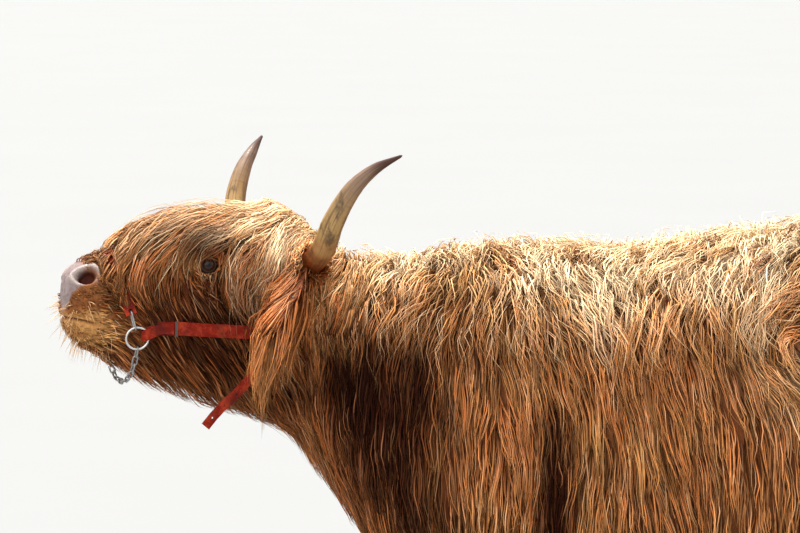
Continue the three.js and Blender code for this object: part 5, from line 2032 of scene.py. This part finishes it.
class COW_OT_coat(bpy.types.Operator):
    """Grows the coat over the skin, with whiskers, lashes and the hair round the horns"""

    bl_idname = "cow.coat"
    bl_label = "Coat"

    def execute(self, context):
        lie = Lie(bpy.data.objects["skin"].data)
        material = coat_finish()
        picked = piece_faces(lie)
        for growth in PIECES:
            tufts = Tufts(lie, growth, picked[growth.name])
            add_piece(growth.name, tufts.mesh(), material)
        make_whiskers(lie, material)
        make_lashes(material)
        make_horn_cuffs(material)
        return {"FINISHED"}


class COW_OT_horns(bpy.types.Operator):
    """Makes both horns"""

    bl_idname = "cow.horns"
    bl_label = "Horns"

    def execute(self, context):
        material = horn_finish()
        for name, mirror in (("left", 1), ("right", -1)):
            add_piece(f"horn_sheath_{name}", make_horn(mirror), material, (f"horn_{name}",))
        return {"FINISHED"}


class COW_OT_hooves(bpy.types.Operator):
    """Makes the claws and dewclaws of all four feet"""

    bl_idname = "cow.hooves"
    bl_label = "Hooves"

    def execute(self, context):
        material = hoof_finish()
        for node in CLAW_NODES + DEWCLAW_NODES:
            add_piece(f"hoof_{node}", make_hoof(node), material, (node,))
        return {"FINISHED"}


class COW_OT_eyes(bpy.types.Operator):
    """Makes both eyeballs"""

    bl_idname = "cow.eyes"
    bl_label = "Eyes"

    def execute(self, context):
        material = eye_finish()
        for name, centre, mirror in (("left", EYE_LEFT, 1), ("right", EYE_RIGHT, -1)):
            mesh = make_eye(centre, mirror)
            add_piece(f"eyeball_{name}", mesh, material, (f"eye_{name}",))
        return {"FINISHED"}


class COW_OT_halter(bpy.types.Operator):
    """Finishes the straps, keepers, rings and chain of the halter"""

    bl_idname = "cow.halter"
    bl_label = "Halter"

    def execute(self, context):
        edge = context.scene.cow_tack.edge
        strap, keeper = strap_finish(), keeper_finish()
        bright, dull = steel_finish("steel", 0.0), steel_finish("chain", 0.7)
        for node in STRAP_NODES:
            soften_node(node, edge, strap)
        for node in KEEPER_NODES:
            soften_node(node, edge * 0.8, keeper)
        soften_node("buckle", 0.0008, bright)
        for node in RING_NODES:
            add_piece(f"round_{node}", make_link(node), bright, (node,))
        for node in LINK_NODES:
            add_piece(f"wire_{node}", make_link(node), dull, (node,))
        return {"FINISHED"}


def add_light(name, strength, place, width):
    """A far light at a place, aimed where the camera looks; a wider one has softer shadows."""
    data = bpy.data.lights.new(name, "SUN")
    data.energy = strength
    data.angle = width
    light = put_in_scene(name, data)
    light.location = place
    light.rotation_mode = "QUATERNION"
    light.rotation_quaternion = (AIM - Vector(place)).to_track_quat("-Z", "Y")
    light.visible_camera = False


class COW_OT_stage(bpy.types.Operator):
    """Sets up the floor, the light and the camera"""

    bl_idname = "cow.stage"
    bl_label = "Stage"

    def execute(self, context):
        stage = context.scene.cow_stage
        self.add_floor()
        self.add_world(context.scene, stage.sky)
        lights = (
            ("key", stage.key, (-2.4, -1.2, 7.0), 16),
            ("fill", stage.fill, (6.0, -3.5, 4.0), 70),
            ("lift", stage.fill * 0.45, (4.0, 6.0, 4.0), 70),
        )
        for name, strength, place, width in lights:
            add_light(name, strength, place, math.radians(width))
        self.add_camera(context.scene, stage)
        context.scene.view_settings.view_transform = "Standard"
        return {"FINISHED"}

    def add_floor(self):
        """A wide round floor under the cow."""
        turns = np.linspace(0, 2 * math.pi, 96, endpoint=False)
        circle = np.column_stack([np.cos(turns), np.sin(turns), turns * 0])
        rings = [circle * radius for radius in (60, 8, 2)]
        points, faces = loft(rings, closed_ends=False)
        points = np.concatenate([points, [[0, 0, 0]]])
        inner = 2 * len(turns)
        for side in range(len(turns)):
            faces.append((inner + side, inner + (side + 1) % len(turns), len(points) - 1))
        mesh = face_list_mesh("floor", points, faces)
        mesh.materials.append(floor_finish())
        put_in_scene("floor", mesh)

    def add_world(self, scene, strength):
        """Even warm light from all round."""
        world = bpy.data.worlds.new("studio")
        world.use_nodes = True
        background = world.node_tree.nodes["Background"]
        background.inputs["Color"].default_value = (1.0, 0.975, 0.94, 1)
        background.inputs["Strength"].default_value = strength
        scene.world = world

    def add_camera(self, scene, stage):
        """The camera on the cow's left, a little above the level of its back."""
        data = bpy.data.cameras.new("camera")
        data.lens = stage.lens
        data.sensor_width = 36.0
        data.clip_end = 500.0
        camera = put_in_scene("camera", data)
        level = stage.distance * math.cos(stage.elevation)
        rise = stage.distance * math.sin(stage.elevation)
        camera.location = AIM + Vector((level, 0, rise))
        camera.rotation_mode = "QUATERNION"
        camera.rotation_quaternion = (AIM - camera.location).to_track_quat("-Z", "Y")
        scene.camera = camera


OPERATORS = (
    COW_OT_skin,
    COW_OT_coat,
    COW_OT_horns,
    COW_OT_hooves,
    COW_OT_eyes,
    COW_OT_halter,
    COW_OT_stage,
)
SETTINGS = {
    "cow_skin": CowSkinSettings,
    "cow_coat": CowCoatSettings,
    "cow_horn": CowHornSettings,
    "cow_eye": CowEyeSettings,
    "cow_tack": CowTackSettings,
    "cow_stage": CowStageSettings,
}


class COW_PT_panel(bpy.types.Panel):
    """Lists the steps that make the cow, and their settings."""

    bl_idname = "COW_PT_panel"
    bl_label = "Highland Cow"
    bl_space_type = "VIEW_3D"
    bl_region_type = "UI"
    bl_category = "Highland Cow"

    def draw(self, context):
        for operator in OPERATORS:
            self.layout.operator(operator.bl_idname)
        for name in SETTINGS:
            group = getattr(context.scene, name)
            box = self.layout.box()
            box.label(text=name.replace("_", " ").capitalize())
            for key in group.bl_rna.properties.keys():
                if key not in ("rna_type", "name"):
                    box.prop(group, key)


def register():
    """Makes the settings, the steps and the panel known to Blender."""
    for group in SETTINGS.values():
        bpy.utils.register_class(group)
    for name, group in SETTINGS.items():
        setattr(bpy.types.Scene, name, PointerProperty(type=group))
    for operator in OPERATORS:
        bpy.utils.register_class(operator)
    bpy.utils.register_class(COW_PT_panel)


def unregister():
    """Takes them all away again."""
    bpy.utils.unregister_class(COW_PT_panel)
    for operator in reversed(OPERATORS):
        bpy.utils.unregister_class(operator)
    for name, group in SETTINGS.items():
        delattr(bpy.types.Scene, name)
        bpy.utils.unregister_class(group)


def main():
    """Makes the whole cow on its stage."""
    register()
    bpy.ops.cow.skin()
    bpy.ops.cow.coat()
    bpy.ops.cow.horns()
    bpy.ops.cow.hooves()
    bpy.ops.cow.eyes()
    bpy.ops.cow.halter()
    bpy.ops.cow.stage()


if __name__ == "__main__":
    main()
